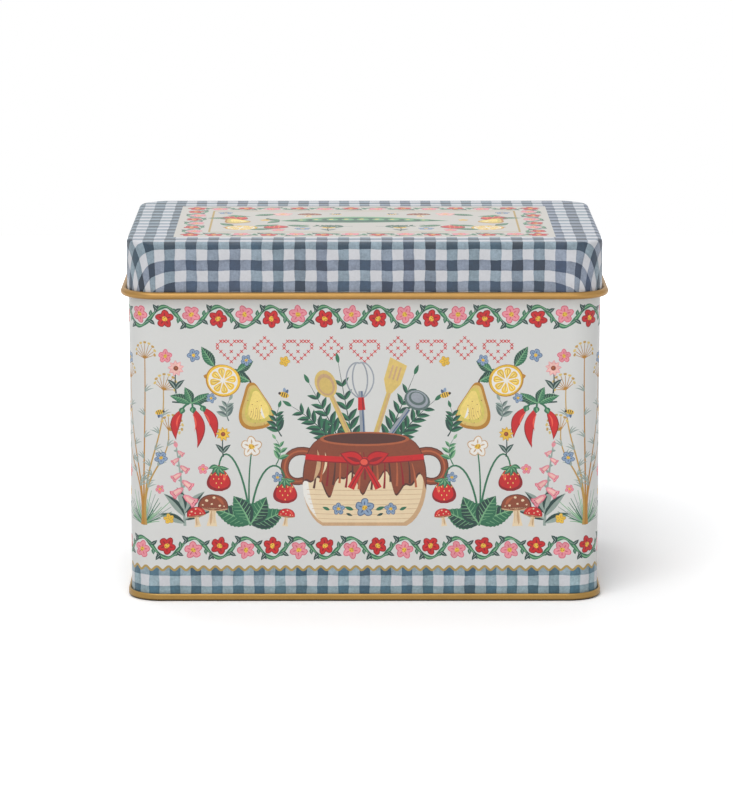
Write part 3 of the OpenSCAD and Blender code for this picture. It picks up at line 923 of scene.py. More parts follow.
def inked_sheet(layers, guides, anchor):
    """The upper side of a print: points, triangles, and for each the colour of the ink laid last."""
    sheet, triangles, over = cut_sheet(layers, guides, anchor)
    full = np.random.default_rng(len(layers)).uniform(THIN_BRUSH, FULL_BRUSH, len(layers))
    inks = {}

    def colour_of(ids):
        last = ids[-1]
        ink = layers[last][1]
        if ink is None or ids[0] != 0:
            return None
        if isinstance(ink, tuple):
            laid = dict(layers[i][1] for i in ids if isinstance(layers[i][1], tuple))
            return (*linear(np.clip(check_ink(laid), 0, 255)), CHECK_WASH)
        return (*(linear(INK[ink]) * (1 if ink in WASH else full[last])), WASH.get(ink, INK_WASH))

    kept, colours = [], []
    for corners, ids in zip(triangles, over):
        key = tuple(sorted(ids))
        if key and key not in inks:
            inks[key] = colour_of(key)
        if key and inks[key] is not None:
            kept.append(corners)
            colours.append(inks[key])
    used, faces = np.unique(np.array(kept), return_inverse=True)
    sheet = sheet[used]
    return sheet, face_up(sheet, faces.reshape(-1, 3)), np.array(colours, np.float32)


def within(spots, starts, ends):
    """Whether each spot lies inside closed lines given as straight pieces: a ray from it to the right
    crosses them an odd number of times."""
    x, y = spots[:, :1], spots[:, 1:]
    rise = ends[:, 1] - starts[:, 1]
    level = (starts[:, 1] > y) != (ends[:, 1] > y)
    crossing = starts[:, 0] + (y - starts[:, 1]) / np.where(rise == 0, 1, rise) * (ends[:, 0] - starts[:, 0])
    return np.sum(level & (x < crossing), 1) % 2 == 1


def under_sheet(sheet, rim, guides, anchor):
    """The lower side of a print, with no more triangles than it needs to bend: points, triangles, and the
    lower point under both ends of each piece of the rim."""
    rim_points, pairs = np.unique(rim, return_inverse=True)
    pairs = pairs.reshape(-1, 2)
    flat, edges = [Vector(p) for p in sheet[rim_points] - anchor], [tuple(p) for p in pairs.tolist()]
    for line in guides:
        edges += [(len(flat) + i, len(flat) + i + 1) for i in range(len(line) - 1)]
        flat += [Vector(p) for p in np.asarray(line, float) - anchor]
    made, _, faces, came_from, _, _ = delaunay_2d_cdt(flat, edges, [], 1, CUT_GRAIN, True)
    under, faces = np.array(made, float) + anchor, np.array(faces)
    covered = within(under[faces].mean(1), sheet[rim[:, 0]], sheet[rim[:, 1]])
    below = np.zeros(len(rim_points), int)
    for k, ids in enumerate(came_from):
        below[[i for i in ids if i < len(rim_points)]] = k
    return under, face_up(under, faces[covered]), below[pairs]


def fill(rows, name, values, kind=np.float32):
    """Hands an array to one property of a mesh's rows."""
    rows.foreach_set(name, np.asarray(values).astype(kind).ravel())


def printed_film(name, outline, art, guides, on_tin, body, holes=()):
    """One closed skin of print. The flat sheet is cut into triangles along every edge of the artwork, and
    on_tin bends it to the tin. A plainer copy of the sheet lies under it, and a rim joins the two."""
    layers = [(outline, "paper")] + art.shapes + [(hole, None) for hole in holes]
    anchor = outline.mean(0)
    sheet, faces, colours = inked_sheet(layers, guides, anchor)
    half_edges = np.concatenate([faces[:, [0, 1]], faces[:, [1, 2]], faces[:, [2, 0]]])
    _, first, uses = np.unique(np.sort(half_edges, 1), axis=0, return_index=True, return_counts=True)
    rim = half_edges[first[uses == 1]]
    rim_colours = colours[first[uses == 1] % len(faces)]
    under, under_faces, below = under_sheet(sheet, rim, guides, anchor)

    n, m = len(sheet), len(under)
    outside, normal = on_tin(sheet, FILM)
    inside, under_normal = on_tin(under, 0.0)
    i, j = rim[:, 0], rim[:, 1]
    p, q = below[:, 0] + n, below[:, 1] + n
    rim_faces = np.concatenate([np.stack([j, i, p], 1), np.stack([j, p, q], 1)])
    all_faces = np.concatenate([faces, under_faces[:, ::-1] + n, rim_faces])
    mesh = bpy.data.meshes.new(name)
    mesh.vertices.add(n + m)
    fill(mesh.vertices, "co", np.concatenate([outside, inside]) * MM)
    mesh.loops.add(3 * len(all_faces))
    fill(mesh.loops, "vertex_index", all_faces, np.int32)
    mesh.polygons.add(len(all_faces))
    fill(mesh.polygons, "loop_start", np.arange(0, 3 * len(all_faces), 3), np.int32)
    mesh.update(calc_edges=True)
    fill(mesh.polygons, "use_smooth", np.ones(len(all_faces)), bool)

    # The UV map gives the upper side nearly all its room, and the lower side a strip along its foot
    low, span = sheet.min(0), np.ptp(sheet, axis=0)
    upper_uv = (sheet - low) / span * (0.998, 0.965) + (0.001, 0.034)
    under_uv = (under - low) / span * (0.998, 0.02) + (0.001, 0.004)
    tuck = upper_uv * 0.998 + 0.001
    uv = np.concatenate([
        upper_uv[faces],
        under_uv[under_faces[:, ::-1]],
        np.stack([upper_uv[j], upper_uv[i], tuck[i]], 1),
        np.stack([upper_uv[j], tuck[i], tuck[j]], 1),
    ])
    fill(mesh.uv_layers.new(name="OFBake").data, "uv", uv)
    plain = np.tile(np.array([*linear(INK["paper"]), WASH["paper"]], np.float32), (len(under_faces), 1))
    inks = np.concatenate([colours, plain, rim_colours, rim_colours])
    fill(mesh.color_attributes.new("ink", "FLOAT_COLOR", "CORNER").data, "color", np.repeat(inks, 3, axis=0))
    flat_place = np.column_stack([np.concatenate([sheet, under]), np.zeros(n + m)])
    fill(mesh.attributes.new("sheet", "FLOAT_VECTOR", "POINT").data, "vector", flat_place)
    mesh.normals_split_custom_set_from_vertices(np.concatenate([normal, -under_normal]).astype(np.float32))
    mesh.materials.append(print_varnish)
    film = new_object(name, mesh)
    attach(film, body)


def cloth_group():
    """Threads of the linen under the brushed gingham: two fine waves across the sheet, and soft blots."""
    group, given, out = new_group(
        "brushed_cloth", [("Sheet", "Vector", (0, 0, 0)), ("Strength", "Float", 0.1)], [("Gain", "Float")]
    )
    at = given["Sheet"]
    threads = []
    for scale, direction in ((0.62, "X"), (0.7, "Y")):
        form = {"Vector": at, "Scale": scale, "Distortion": 1.6, "Detail": 2.0, "Detail Scale": 1.4}
        threads.append(place(group, "TexWave", form, bands_direction=direction).outputs["Fac"])
    blots = calc(group, "MULTIPLY", noise(group, at, 0.5, 4.0, 0.65), 3.4)
    pattern = calc(group, "ADD", calc(group, "ADD", *threads), blots)
    feed(group, out, {"Gain": unevenness(group, pattern, 2.7, given["Strength"])[1]})
    return group


print_varnish, print_tree, print_surface = new_material("satin_print")
ink_read = place(print_tree, "Attribute", attribute_name="ink").outputs
sheet_read = place(print_tree, "Attribute", attribute_name="sheet").outputs["Vector"]
thread_depth = ramp(print_tree, ink_read["Alpha"], 0.1, CHECK_WASH, 0.0, 0.1, "LINEAR")
cloth = place(print_tree, "Group", {"Sheet": sheet_read, "Strength": thread_depth}, node_tree=cloth_group())
woven = scaled(print_tree, ink_read["Color"], cloth.outputs[0])
wear_lacquer(print_tree, print_surface, woven, ink_read["Alpha"], 0.42, 0.2)


def round_walk(way, half_w, half_d, r, out):
    """Way along a rounded rectangle, from the middle of its front to the right, as a place out from it and a
    normal: each side is a straight run, then a quarter turn about the centre of its corner."""
    w, d, quarter = 2 * (half_w - r), 2 * (half_d - r), math.pi * r / 2
    ends = np.array([(w, -d), (w, d), (-w, d), (-w, -d)]) / 2
    rest = np.mod(np.asarray(way, float) + w / 2, 2 * (w + d) + 4 * quarter)
    spot, normal = np.zeros((len(rest), 2)), np.zeros((len(rest), 2))
    begin = 0.0
    for side, length in enumerate((w, d, w, d)):
        here = (rest >= begin - 1e-9) & (rest <= begin + length + quarter + 1e-9)
        run = rest[here] - begin
        angle = side * math.pi / 2 + np.maximum(run - length, 0) / r
        normal[here] = np.stack([np.sin(angle), -np.cos(angle)], 1)
        before = np.maximum(length - run, 0)[:, None] * ray(side * math.pi / 2)
        spot[here] = ends[side] - before + normal[here] * (r + out)
        begin += length + quarter
    return spot, normal


def on_wall(sheet, out):
    """Wraps the flat sheet, x along the wall and y up, round the body."""
    spot, normal = round_walk(sheet[:, 0], BODY_HALF_W, BODY_HALF_D, BODY_R, out)
    return np.column_stack([spot, sheet[:, 1]]), np.column_stack([normal, np.zeros(len(sheet))])


def upright_box(low_x, high_x, low_y, high_y):
    return np.array([(low_x, low_y), (high_x, low_y), (high_x, high_y), (low_x, high_y)])


def body_ground(start, end):
    """Gingham round the foot, plain ground over it down to a scalloped gold line, and the two borders."""
    art = Motif()
    art.lay("check_white", upright_box(start, end, SEAM_TOP - 1, 14))
    for row in range(2):
        check_stripe(art, "along_x", 40 + row, 3.4 + row * CHECK, CHECK / 2, start, end)
    for k in range(math.floor(start / CHECK), math.ceil(end / CHECK) + 1):
        check_stripe(art, "along_y", 60 + k % CHECK_COUNT, k * CHECK, CHECK / 2, SEAM_TOP - 1, 14.0)
    way = np.arange(start, end + 0.25, 0.25)
    line = np.stack([way, 11.5 + 0.66 * np.sin(TAU * way / SCALLOP)], 1)
    art.lay("paper", np.concatenate([line, [[end + 1, NECK_TOP + 1], [start - 1, NECK_TOP + 1]]]))
    art.lay("edge_gold", ribbon(line, 0.4))
    border = running_border(math.floor(start / BORDER_WAVE) - 1, math.ceil(end / BORDER_WAVE) + 1)
    return art.add(border, 0, 99.7).add(border, 0, 18.7, size=(1, -1))


def side_group():
    """The motifs that stand to each side of the middle, drawn for the right-hand side."""
    art = Motif()
    for motif, *spot in (
        (foxglove(29), 62, 26.5),
        (dill(54), 76.5, 31),
        (strawberry_plant(31), 39.5, 26.5),
        (chillies(17), 57.5, 53.5, -0.1),
        (pear(16.5), 36.5, 60.5, -0.15),
        (lemon(5.6), 48.5, 77.5, 0.25),
        (mushroom(11.5), 52.6, 26.4, 0.05),
        (mushroom(7.2, "red"), 57.4, 26.2, -0.15),
        (mushroom(6.4, "red"), 27.4, 26.4, 0.12),
        (daisy(10), 48.6, 50.8),
        (daisy(11, "blush"), 64.6, 73),
        (daisy(9), 86, 30),
        (bee(1.7), 27.6, 72.5, 0.3),
        (bee(1.5), 70.4, 66.5, 2.9),
        (bee(1.5), 84.6, 66.5, 0.8),
    ):
        art.add(motif, *spot)
    art.sprig([(28.5, 58), (31.5, 62), (29.5, 68)], 4, 4.6, 1.9, "green", "pine", "pine")
    art.sprig([(46.6, 63.4), (48.4, 67), (46.4, 70.6)], 3, 4.2, 1.8, "sage", "slate", "slate")
    art.sprig([(30.5, 48), (27.5, 53), (30.5, 57)], 3, 3.8, 1.6, "mint", "green", "green")
    for x, y, r, ink in (
        (58.5, 86.3, 2.2, "blue"),
        (68.2, 86, 2.3, "pink"),
        (70, 50.5, 2.2, "blue"),
        (55.6, 46.5, 1.7, "pink"),
        (30, 43.6, 1.8, "blue"),
        (83.5, 84.5, 2.2, "blue"),
        (85, 44.5, 2.2, "pink"),
        (27.4, 84.2, 1.8, "yellow"),
        (40.5, 84.6, 1.9, "blue"),
        (67.5, 29, 1.8, "yellow"),
        (52.6, 71.4, 1.7, "blue"),
        (70.5, 39.5, 1.5, "pink"),
    ):
        art.blossom(x, y, r, ink, turn=0.3 * x)
    return art


def front_art():
    """Artwork of the front: a crock with tools under a row of hearts, with the same motifs to each side."""
    return heart_row(88.8, 1.18, 4, 11.4).add(crock(), 0, 26.5).add_both(side_group())


def narrow_art():
    """Artwork of a narrow side: a herb pot, with fruit to each side."""
    half = Motif()
    half.add(strawberry_plant(24), 29, 26.5).add(pear(15), 25.5, 54, -0.15).add(lemon(5.2), 34, 78, 0.4)
    half.add(mushroom(9), 15.5, 26.6, 0.1).add(bee(1.6), 13, 66, 0.4)
    half.blossom(35, 52.5, 2.2, "blue")
    half.blossom(16, 56, 2.2, "pink")
    half.add(daisy(11), 38.5, 58)
    half.blossom(21, 79, 2.0, "blue")
    half.sprig([(36, 64), (34, 68), (37, 72)], 3, 4.2, 1.8, "green", "pine")
    return heart_row(86, 1.1, 2, 11.4).add(herb_pot(), 0, 27, size=1.15).add_both(half)


def back_art():
    """Artwork of the back: a wreath round a stitched heart, with fruit and flowers to each side."""
    art = Motif().add(wreath(22), 0, 58)
    art.stitches(HEART_LINE, 0, 59, 2.1)
    half = Motif().add(strawberry_plant(29), 60, 26.5, size=MIRROR).add(pear(17), 37, 30, 0.1)
    half.add(lemon(6), 42, 80, 0.5).add(foxglove(28), 75, 58, size=MIRROR).add(mushroom(13), 76, 27)
    half.add(bee(1.7), 31, 88, 0.3).add(chillies(17), 54, 58, 0.1)
    spots = ((29, 32, "blue"), (50, 52, "pink"), (60, 85, "blue"), (83, 50, "blue"), (37, 58, "yellow"))
    for x, y, ink in (*spots, (65, 56, "pink")):
        half.blossom(x, y, 2.3, ink)
    return art.add_both(half)


HINGE_X, WINDOW_HALF = 47.0, 6.2
WINDOW_LOW, WINDOW_HIGH = 103.55, 113.06
GROOVE = (1.75, 2.25)
GUIDE_INSET = 0.02
CORNER_STEPS = 18


def corner_ways(start, end):
    """Ways along the wall every 5 degrees round the corners, where the sheet bends."""
    ways, turn = [], FRONT_RUN / 2
    for length in (SIDE_RUN, FRONT_RUN, SIDE_RUN, FRONT_RUN, SIDE_RUN):
        for base in (turn, turn - AROUND):
            ways += [base + QUARTER * k / CORNER_STEPS for k in range(CORNER_STEPS + 1)]
        turn += QUARTER + length
    return [way for way in ways if start + 0.01 < way < end - 0.01]


def wall_field(name, start, end, art, middle, holes=()):
    """One field of the body's print, from one way along the wall to another."""
    bends = corner_ways(start, end)
    ways = np.unique(np.concatenate([np.linspace(start, end, 12), bends]))
    foot, top = np.full(len(ways), SEAM_TOP), np.full(len(ways), NECK_TOP)
    outline = np.concatenate([np.stack([ways, foot], 1), np.stack([ways[::-1], top], 1)])
    lines = [[(x, SEAM_TOP + GUIDE_INSET), (x, NECK_TOP - GUIDE_INSET)] for x in bends]
    drawn = body_ground(start - 4, end + 4).add(art, middle, 0)
    printed_film(name, outline, drawn, lines, on_wall, "box", holes)


front_end = FRONT_RUN / 2 + QUARTER
side_end = front_end + SIDE_RUN
middle_back = AROUND / 2
wall_field("print_front", -front_end, front_end, front_art(), 0)
wall_field("print_right", front_end, side_end, narrow_art(), AROUND / 4)
openings = [
    upright_box(x - WINDOW_HALF, x + WINDOW_HALF, WINDOW_LOW, WINDOW_HIGH)
    for x in (middle_back - HINGE_X, middle_back + HINGE_X)
]
openings.append(upright_box(middle_back - GROOVE[1], middle_back - GROOVE[0], SEAM_TOP - 1, NECK_TOP + 1))
wall_field("print_back", side_end, AROUND - side_end, back_art(), middle_back, openings)
wall_field("print_left", AROUND - side_end, AROUND - front_end, narrow_art(), AROUND * 3 / 4)


# Base panel: a recessed floor of gold-lacquered tinplate, its edge folded twice round the flange of the body.
# The fold shows as the gold bead at the foot, its gold darker towards the floor: painted shade for the
# contact shadow and the dark underside that it reflects.
gold_seam_painted_shade, seam_tree, seam_surface = new_material("gold_seam_painted_shade")
seam_height = place(seam_tree, "SeparateXYZ", {0: object_place(seam_tree)}).outputs["Z"]
# Painted shade and reflection: over its lowest millimetre the gold falls to a fifth of its brightness.
painted_foot_shade = ramp(seam_tree, seam_height, 0.3 * MM, 1.1 * MM, 0.2, 1.0)
gold_darkened_by_painted_shade = scaled(seam_tree, shade((160, 126, 68))[:3], painted_foot_shade)
wear_lacquer(seam_tree, seam_surface, gold_darkened_by_painted_shade, 0.22, 0.4, 0.25, 0.7)
dress("base_panel", gold_seam_painted_shade)


# Lid: drawn from one gold-lacquered sheet, with a flat top, a tight shoulder and a skirt that ends in a curl.
# The shell is the CAD lid, its seams merged, and a hair lower so that the print lies within its height.
LID_HALF_W, LID_HALF_D, LID_R = 81.55, 51.55, 11.05
SHOULDER, LID_TOP, SKIRT_FOOT = 1.2, 125.4, 107.2
CURL_FOOT = 105.9
SHARP_DEGREES = 35

shell = bmesh.new()
shell.from_mesh(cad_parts["lid"].data)
bmesh.ops.remove_doubles(shell, verts=shell.verts, dist=1e-6)
shell_mesh = bpy.data.meshes.new("lid_shell")
shell.to_mesh(shell_mesh)
shell.free()
spots = np.zeros(3 * len(shell_mesh.vertices), np.float32)
shell_mesh.vertices.foreach_get("co", spots)
squeeze = 1 - FILM / (LID_TOP - CURL_FOOT)
spots[2::3] = CURL_FOOT * MM + (spots[2::3] - CURL_FOOT * MM) * squeeze
shell_mesh.vertices.foreach_set("co", spots)
shell_mesh.materials.clear()
shell_mesh.materials.append(gold_lacquer)
shell_mesh.shade_smooth()
shell_mesh.set_sharp_from_angle(angle=math.radians(SHARP_DEGREES))
lid_shell = new_object("lid_shell", shell_mesh)
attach(lid_shell, "lid")
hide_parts("lid")


# Print on the lid: gingham brushed on the flat sheet, with a field of artwork in its middle. Drawing leaves
# the straight sides as they were and pulls the corners in, so the checks there slant and stretch.
CORE_R = LID_R - SHOULDER
BEND = SHOULDER * math.pi / 2
SHOULDER_END = LID_TOP - FILM - SHOULDER
SKIRT_RUN = BEND + SHOULDER_END - SKIRT_FOOT
LID_RUN_W, LID_RUN_D = 2 * (LID_HALF_W - LID_R), 2 * (LID_HALF_D - LID_R)
LID_RUNS = (LID_RUN_W, LID_RUN_D, LID_RUN_W, LID_RUN_D)
CORE_QUARTER = math.pi * CORE_R / 2
CORE_AROUND = 2 * (LID_RUN_W + LID_RUN_D) + 4 * CORE_QUARTER
NOTCH_HALF, NOTCH_TOP = 6.4, 108.8
PULL_REACH = 9.0
BEND_STEPS = 6


def profile(s, out):
    """Way down the lid's side from the edge of its flat top, as a place out from that edge, a height and a
    normal: a quarter circle, then straight down."""
    angle = np.clip(s / SHOULDER, 0, math.pi / 2)
    height = SHOULDER_END + (SHOULDER + out) * np.cos(angle) - np.maximum(s - BEND, 0)
    return (SHOULDER + out) * np.sin(angle), height, np.sin(angle), np.cos(angle)


def corner_blank(s):
    """Flat distance of a point on a drawn corner, whose flat ring had the area of the wall it became."""
    on_bend = np.minimum(s, BEND)
    area = CORE_R * on_bend + SHOULDER**2 * (1 - np.cos(on_bend / SHOULDER)) + LID_R * np.maximum(s - BEND, 0)
    return np.sqrt(CORE_R**2 + 2 * area) - CORE_R


def nearest_core(sheet):
    """For a flat point: the nearest point on the edge of the flat top, the outward direction, the distance,
    and the way along that edge from the middle of the nearest corner."""
    half = np.array([LID_RUN_W, LID_RUN_D]) / 2
    inner = np.clip(sheet, -half, half)
    off = sheet - inner
    far = np.linalg.norm(off, axis=1)
    beside = half - np.abs(sheet)
    level = np.abs(off) < 1e-9
    over_y, over_x = level[:, 0] & ~level[:, 1], level[:, 1] & ~level[:, 0]
    along = np.where(over_y, beside[:, 0], np.where(over_x, beside[:, 1], 0.0))
    slant = np.abs(np.arctan2(np.abs(off[:, 1]), np.abs(off[:, 0])) - math.pi / 4)
    direction = off / np.maximum(far, 1e-9)[:, None]
    return inner, direction, far, CORE_R * slant + np.maximum(along, 0)


def pulled(along):
    """The share of the corner's pull at a way along the edge from the corner's middle: a bell curve."""
    return np.exp(-((along / PULL_REACH) ** 2))


CORRECTIONS = 30
S_TABLE = np.linspace(0, SKIRT_RUN + 3, 500)
PULLED_TABLE = corner_blank(S_TABLE)


def way_down(gap, pull):
    """Inverts the blank by repeated correction: the way down the side for a flat distance beyond the core,
    between the straight and the drawn rule."""
    s = gap.copy()
    for _ in range(CORRECTIONS):
        now = s * (1 - pull) + np.interp(s, S_TABLE, PULLED_TABLE) * pull
        s = np.clip(s + (gap - now), 0, S_TABLE[-1])
    return s


def on_lid(sheet, out):
    """Draws the flat sheet over the lid."""
    inner, direction, far, along = nearest_core(sheet)
    beyond = far - CORE_R
    s = np.where(beyond > 0, way_down(np.maximum(beyond, 0), pulled(along)), 0)
    reach_out, height, side_part, up_part = profile(s, out)
    radius = np.where(beyond > 0, CORE_R + reach_out, far)
    spot = inner + direction * radius[:, None]
    return np.column_stack([spot, height]), np.column_stack([direction * side_part[:, None], up_part])


def blank_point(way, s):
    """Flat place of the point s down the side at a way round the edge of the flat top."""
    spot, normal = round_walk(way, LID_HALF_W - SHOULDER, LID_HALF_D - SHOULDER, CORE_R, 0.0)
    pull = pulled(nearest_core(spot + 0.5 * normal)[3])
    gap = s * (1 - pull) + corner_blank(s) * pull
    return spot + normal * gap[:, None]


def lid_ways():
    """Stations round the lid: every 2 mm on the sides and every 5 degrees round the corners."""
    ways, begin = [], -LID_RUN_W / 2
    for length in LID_RUNS:
        ways.append(begin + np.linspace(0, length, int(length / 2) + 1)[:-1])
        ways.append(begin + length + np.linspace(0, CORE_QUARTER, CORNER_STEPS + 1)[:-1])
        begin += length + CORE_QUARTER
    return np.concatenate(ways)


def lid_outline():
    """Edge of the blank: the foot of the skirt, higher at the two hinge notches."""
    ways = lid_ways()
    feet = np.full(len(ways), SKIRT_RUN)
    deep = BEND + SHOULDER_END - NOTCH_TOP
    for hinge in (CORE_AROUND / 2 - HINGE_X, CORE_AROUND / 2 + HINGE_X):
        away = np.abs(ways - hinge) > NOTCH_HALF + 0.01
        ways, feet = ways[away], feet[away]
        step = NOTCH_HALF * np.array([-1, -1, -1 / 3, 1 / 3, 1, 1]) + hinge
        step_feet = np.array([SKIRT_RUN, deep, deep, deep, deep, SKIRT_RUN])
        at = np.searchsorted(ways, hinge)
        ways = np.concatenate([ways[:at], step, ways[at:]])
        feet = np.concatenate([feet[:at], step_feet, feet[at:]])
    return blank_point(ways, feet)


def lid_guides():
    """Rings where the shoulder bends, and rays across the corners."""
    ways = lid_ways()
    lines = []
    for k in range(BEND_STEPS + 1):
        ring = blank_point(ways, np.full(len(ways), BEND * k / BEND_STEPS))
        lines.append(np.concatenate([ring, ring[:1]]))
    on_skirt = np.linspace(BEND, SKIRT_RUN - GUIDE_INSET, 8)[1:]
    down = np.concatenate([np.linspace(0, BEND, BEND_STEPS + 1), on_skirt])
    begin = -LID_RUN_W / 2
    for length in LID_RUNS:
        for k in range(CORNER_STEPS + 1):
            way = begin + length + CORE_QUARTER * min(max(k / CORNER_STEPS, 1e-5), 1 - 1e-5)
            lines.append(blank_point(np.full(len(down), way), down))
        begin += length + CORE_QUARTER
    return lines


PANEL_LOW, PANEL_HIGH = np.array([-65.6, -39.4]), np.array([65.6, 35.6])
CHECK_ACROSS, CHECK_DOWN = 7.4, 7.3
BORDER_IN, BORDER_SHORT, CORNER_IN, FRAME_IN = 6.0, 9, 5.6, 11.8


def pea_pod(length):
    """Open pea pod: a long pointed husk, its inside paler, with peas in a row and a curling stalk."""
    art = Motif()
    start = -length / 2
    art.leaf("green", start, 0, length, 0.24 * length, 0, 0.05, 24)
    art.leaf("mint", start, 0, length, 0.24 * length, 0, 0.05, 20, low=0.4)
    art.leaf("pine", -0.45 * length, 0.3, 0.9 * length, 0.16 * length, 0, 0.05, 20)
    for k in range(9):
        t = (k - 4) / 4
        r = 3.2 - 1.0 * t * t
        x, y = 0.36 * length * t, 0.05 * length * (1 - t * t * 0.6) + 0.3
        art.oval("green", x, y, r, r, 0, 0.02, 16)
        art.oval("mint", x - 0.15 * r, y + 0.15 * r, 0.72 * r, 0.7 * r, 0, 0, 14)
        art.oval("lemon", x - 0.3 * r, y + 0.35 * r, 0.3 * r, 0.24 * r, 0.4, 0, 8)
    stalk = [(start, 0), (-0.56 * length, 1), (-0.6 * length, 5), (-0.56 * length, 7)]
    art.stroke("pine", stalk, 1.0, 0.5, 10)
    for turn in (2.2, -2.2):
        art.veined_leaf(start, 0, 7, 3.4, turn)
    return art


def lid_garden():
    """The fruit and flowers to the right of the pea pod."""
    art = Motif().add(strawberry(11.5), 44, 14.5, 0.3).add(strawberry(10), 34, -8.5, -0.5)
    art.add(lemon(5.4), 43, -15.5, 0.2).add(pear(12.5), 43.2, -4.5, -0.4)
    art.veined_leaf(39, 14, 9, 4.4, 2.7)
    art.blossom(29, 17.5, 3.4, "blush")
    art.add(mushroom(9.5), 20, 10.5, 0.1).add(bee(2), 10, 17.5, 0.2)
    art.blossom(21.5, -17.5, 2.8, "blue")
    art.add(daisy(11), 12.5, -23.5)
    art.blossom(30, -21, 2.4, "pink")
    art.blossom(49.5, 20.5, 2.6, "blue")
    art.sprig([(4, -12), (12, -13), (19, -10)], 5, 4.6, 2, "green", "pine")
    art.veined_leaf(40, -20, 9, 4, 2.9)
    art.veined_leaf(27, -9, 9, 4.2, 3.6)
    art.blossom(35, 3, 1.8, "yellow")
    return art


def lid_art():
    """Gingham over the whole sheet, then the off-white field with border, thin gold frame and garden."""
    art = Motif()
    art.lay("check_white", upright_box(-110, 110, -80, 80))
    for k in range(-3, 18):
        check_stripe(art, "along_x", 400 + k, CHECK_DOWN * k - 51.6, CHECK_DOWN / 2, -104, 104)
    for k in range(-14, 15):
        check_stripe(art, "along_y", 700 + k, CHECK_ACROSS * k + 0.2, CHECK_ACROSS / 2, -76, 76)
    middle, half = (PANEL_LOW + PANEL_HIGH) / 2, (PANEL_HIGH - PANEL_LOW) / 2
    corners = np.array([(-1, -1), (1, -1), (1, 1), (-1, 1)])
    art.lay("lid_paper", middle + corners * half)
    for quarter in range(4):
        reach_out, away = half[quarter % 2] - BORDER_SHORT, half[1 - quarter % 2] - BORDER_IN
        waves = int(2 * reach_out // BORDER_WAVE)
        fit = 2 * reach_out / (waves * BORDER_WAVE)
        strip = Motif().add(running_border(0, waves), -reach_out, -away, size=(fit, 0.92))
        art.add(strip, *middle, quarter * math.pi / 2)
    for corner in corners:
        art.blossom(*(middle + corner * (half - CORNER_IN)), 3.4, "red", turn=0.4)
    for k in range(4):
        a, b = (middle + corners[n % 4] * (half - FRAME_IN) for n in (k, k + 1))
        art.stroke("edge_gold", [a, (a + b) / 2, b], 0.7, steps=8)
    art.add(pea_pod(60), middle[0], middle[1] + 1)
    return art.add(Motif().add_both(lid_garden()), *middle)


printed_film("print_lid", lid_outline(), lid_art(), lid_guides(), on_lid, "lid")


# Hinge pins: short lengths of drawn steel wire, pushed into the curl at the back of the lid and through the
# rolled tabs of the body.
steel_wire, wire_tree, wire_surface = new_material("drawn_steel_wire")
wear_lacquer(wire_tree, wire_surface, shade((168, 168, 170)), 0.2, 0.3, 0.3, 1.0)
dress("hinge_pin_left", steel_wire)
dress("hinge_pin_right", steel_wire)


# Dividers: die-cut board in four soft colours, each with a tab that has a pale field to write on.
# They stand on the floor and lean back, loose.
def fibre_group():
    """Paper and board: long pale and dark fibres, a soft cloudiness, and a felt-like relief."""
    group, given, out = new_group(
        "paper_fibre",
        [
            ("Vector", "Vector", (0, 0, 0)),
            ("Colour", "Color", (0.8, 0.8, 0.8, 1)),
            ("Strength", "Float", 0.12),
        ],
        [("Colour", "Color"), ("Height", "Float")],
    )
    at = given["Vector"]
    long_way = place(group, "VectorMath", {0: at, 1: (900, 900, 260)}, operation="MULTIPLY").outputs[0]
    fibres = noise(group, long_way, 1.6, 6.0, 0.7)
    pattern = calc(group, "ADD", fibres, noise(group, at, 120.0, 3.0))
    gain = unevenness(group, pattern, 1.0, given["Strength"])[1]
    feed(group, out, {"Colour": scaled(group, given["Colour"], gain), "Height": fibres})
    return group


FIBRE = fibre_group()


def between(tree, value, low, high):
    """1 where a value lies between two bounds."""
    over = calc(tree, "GREATER_THAN", value, low)
    return calc(tree, "MULTIPLY", over, calc(tree, "LESS_THAN", value, high))


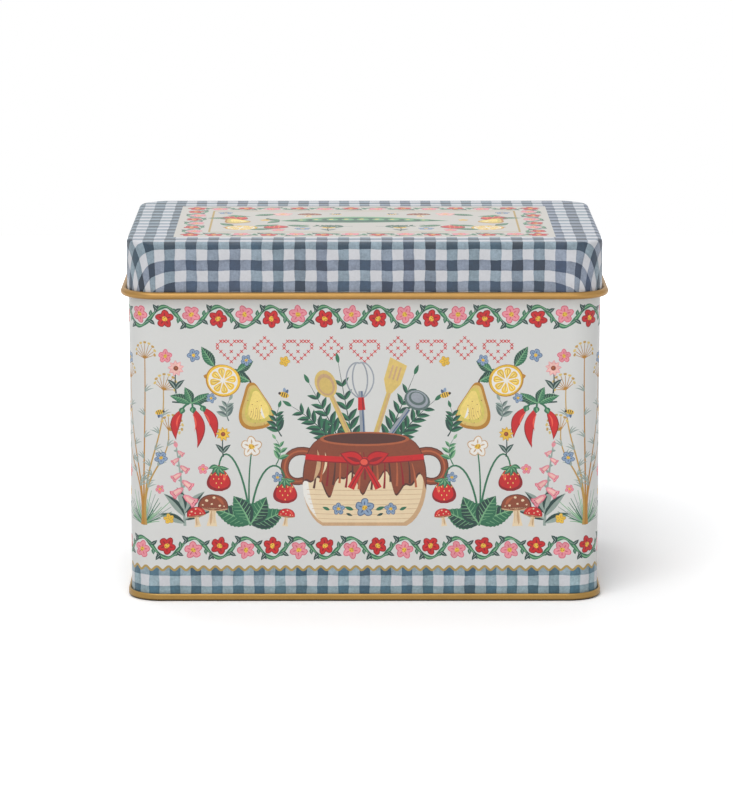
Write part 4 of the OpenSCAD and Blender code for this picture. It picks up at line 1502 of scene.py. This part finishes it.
def paper_material(name, ground, marks):
    """Board or card in a ground colour. Marks gives masks and colours of print for a tree, x and z."""
    material, tree, surface = new_material(name)
    at = object_place(tree)
    axes = place(tree, "SeparateXYZ", {0: at}).outputs
    colour = shade(ground)
    for mask, ink in marks(tree, axes["X"], axes["Z"]):
        colour = place(tree, "Mix", {0: mask, 6: colour, 7: shade(ink)}, data_type="RGBA").outputs[2]
    stock = place(tree, "Group", {"Vector": at, "Colour": colour}, node_tree=FIBRE).outputs
    bump = place(tree, "Bump", {"Strength": 0.3, "Distance": GRAIN_DEPTH, "Height": stock["Height"]})
    feed(tree, surface, {"Base Color": stock["Colour"], "Normal": bump.outputs[0], "Roughness": 0.82})
    return material


BOARD_COLOURS = ((150, 178, 160), (222, 170, 160), (214, 184, 118), (150, 166, 186))
CARD_W, TAB_HALF_W = 152.4, 17.0


def tab_marks(place_index, top):
    """A pale writing field on the tab, and a line under it across the board."""
    centre = CARD_W * ((place_index + 0.5) / len(BOARD_COLOURS) - 0.5)

    def marks(tree, x, z):
        wide = between(tree, x, (centre - TAB_HALF_W + 3) * MM, (centre + TAB_HALF_W - 3) * MM)
        tall = between(tree, z, (top - 8.4) * MM, (top - 2.2) * MM)
        line = between(tree, z, (top - 12.2) * MM, (top - 11.6) * MM)
        return [(line, (120, 70, 60)), (calc(tree, "MULTIPLY", wide, tall), (236, 230, 216))]

    return marks


for index, name in enumerate(sorted(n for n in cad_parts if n.startswith("divider_"))):
    tab = index % len(BOARD_COLOURS)
    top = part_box(name)[1].z / MM
    dress(name, paper_material(f"board_{index + 1:02d}", BOARD_COLOURS[tab], tab_marks(tab, top)))


# Recipe cards: loose card stock, ruled in pale blue under a red line. A few stand behind each divider and
# lean back with it.
def card_marks(tree, x, z):
    """Rules every 7 mm up to 90 mm, a red line over them, and blank margins."""
    row = calc(tree, "MODULO", z, 7.0 * MM)
    inside = between(tree, x, -70 * MM, 70 * MM)
    ruled = calc(tree, "MULTIPLY", between(tree, row, 0.0, 0.3 * MM), between(tree, z, 8 * MM, 90 * MM))
    head = calc(tree, "MULTIPLY", between(tree, z, 92 * MM, 92.5 * MM), inside)
    return [(calc(tree, "MULTIPLY", ruled, inside), (150, 172, 196)), (head, (200, 80, 76))]


card_stock = paper_material("ruled_card", (238, 232, 218), card_marks)
for name in sorted(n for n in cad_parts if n.startswith("recipe_cards_")):
    dress(name, card_stock)
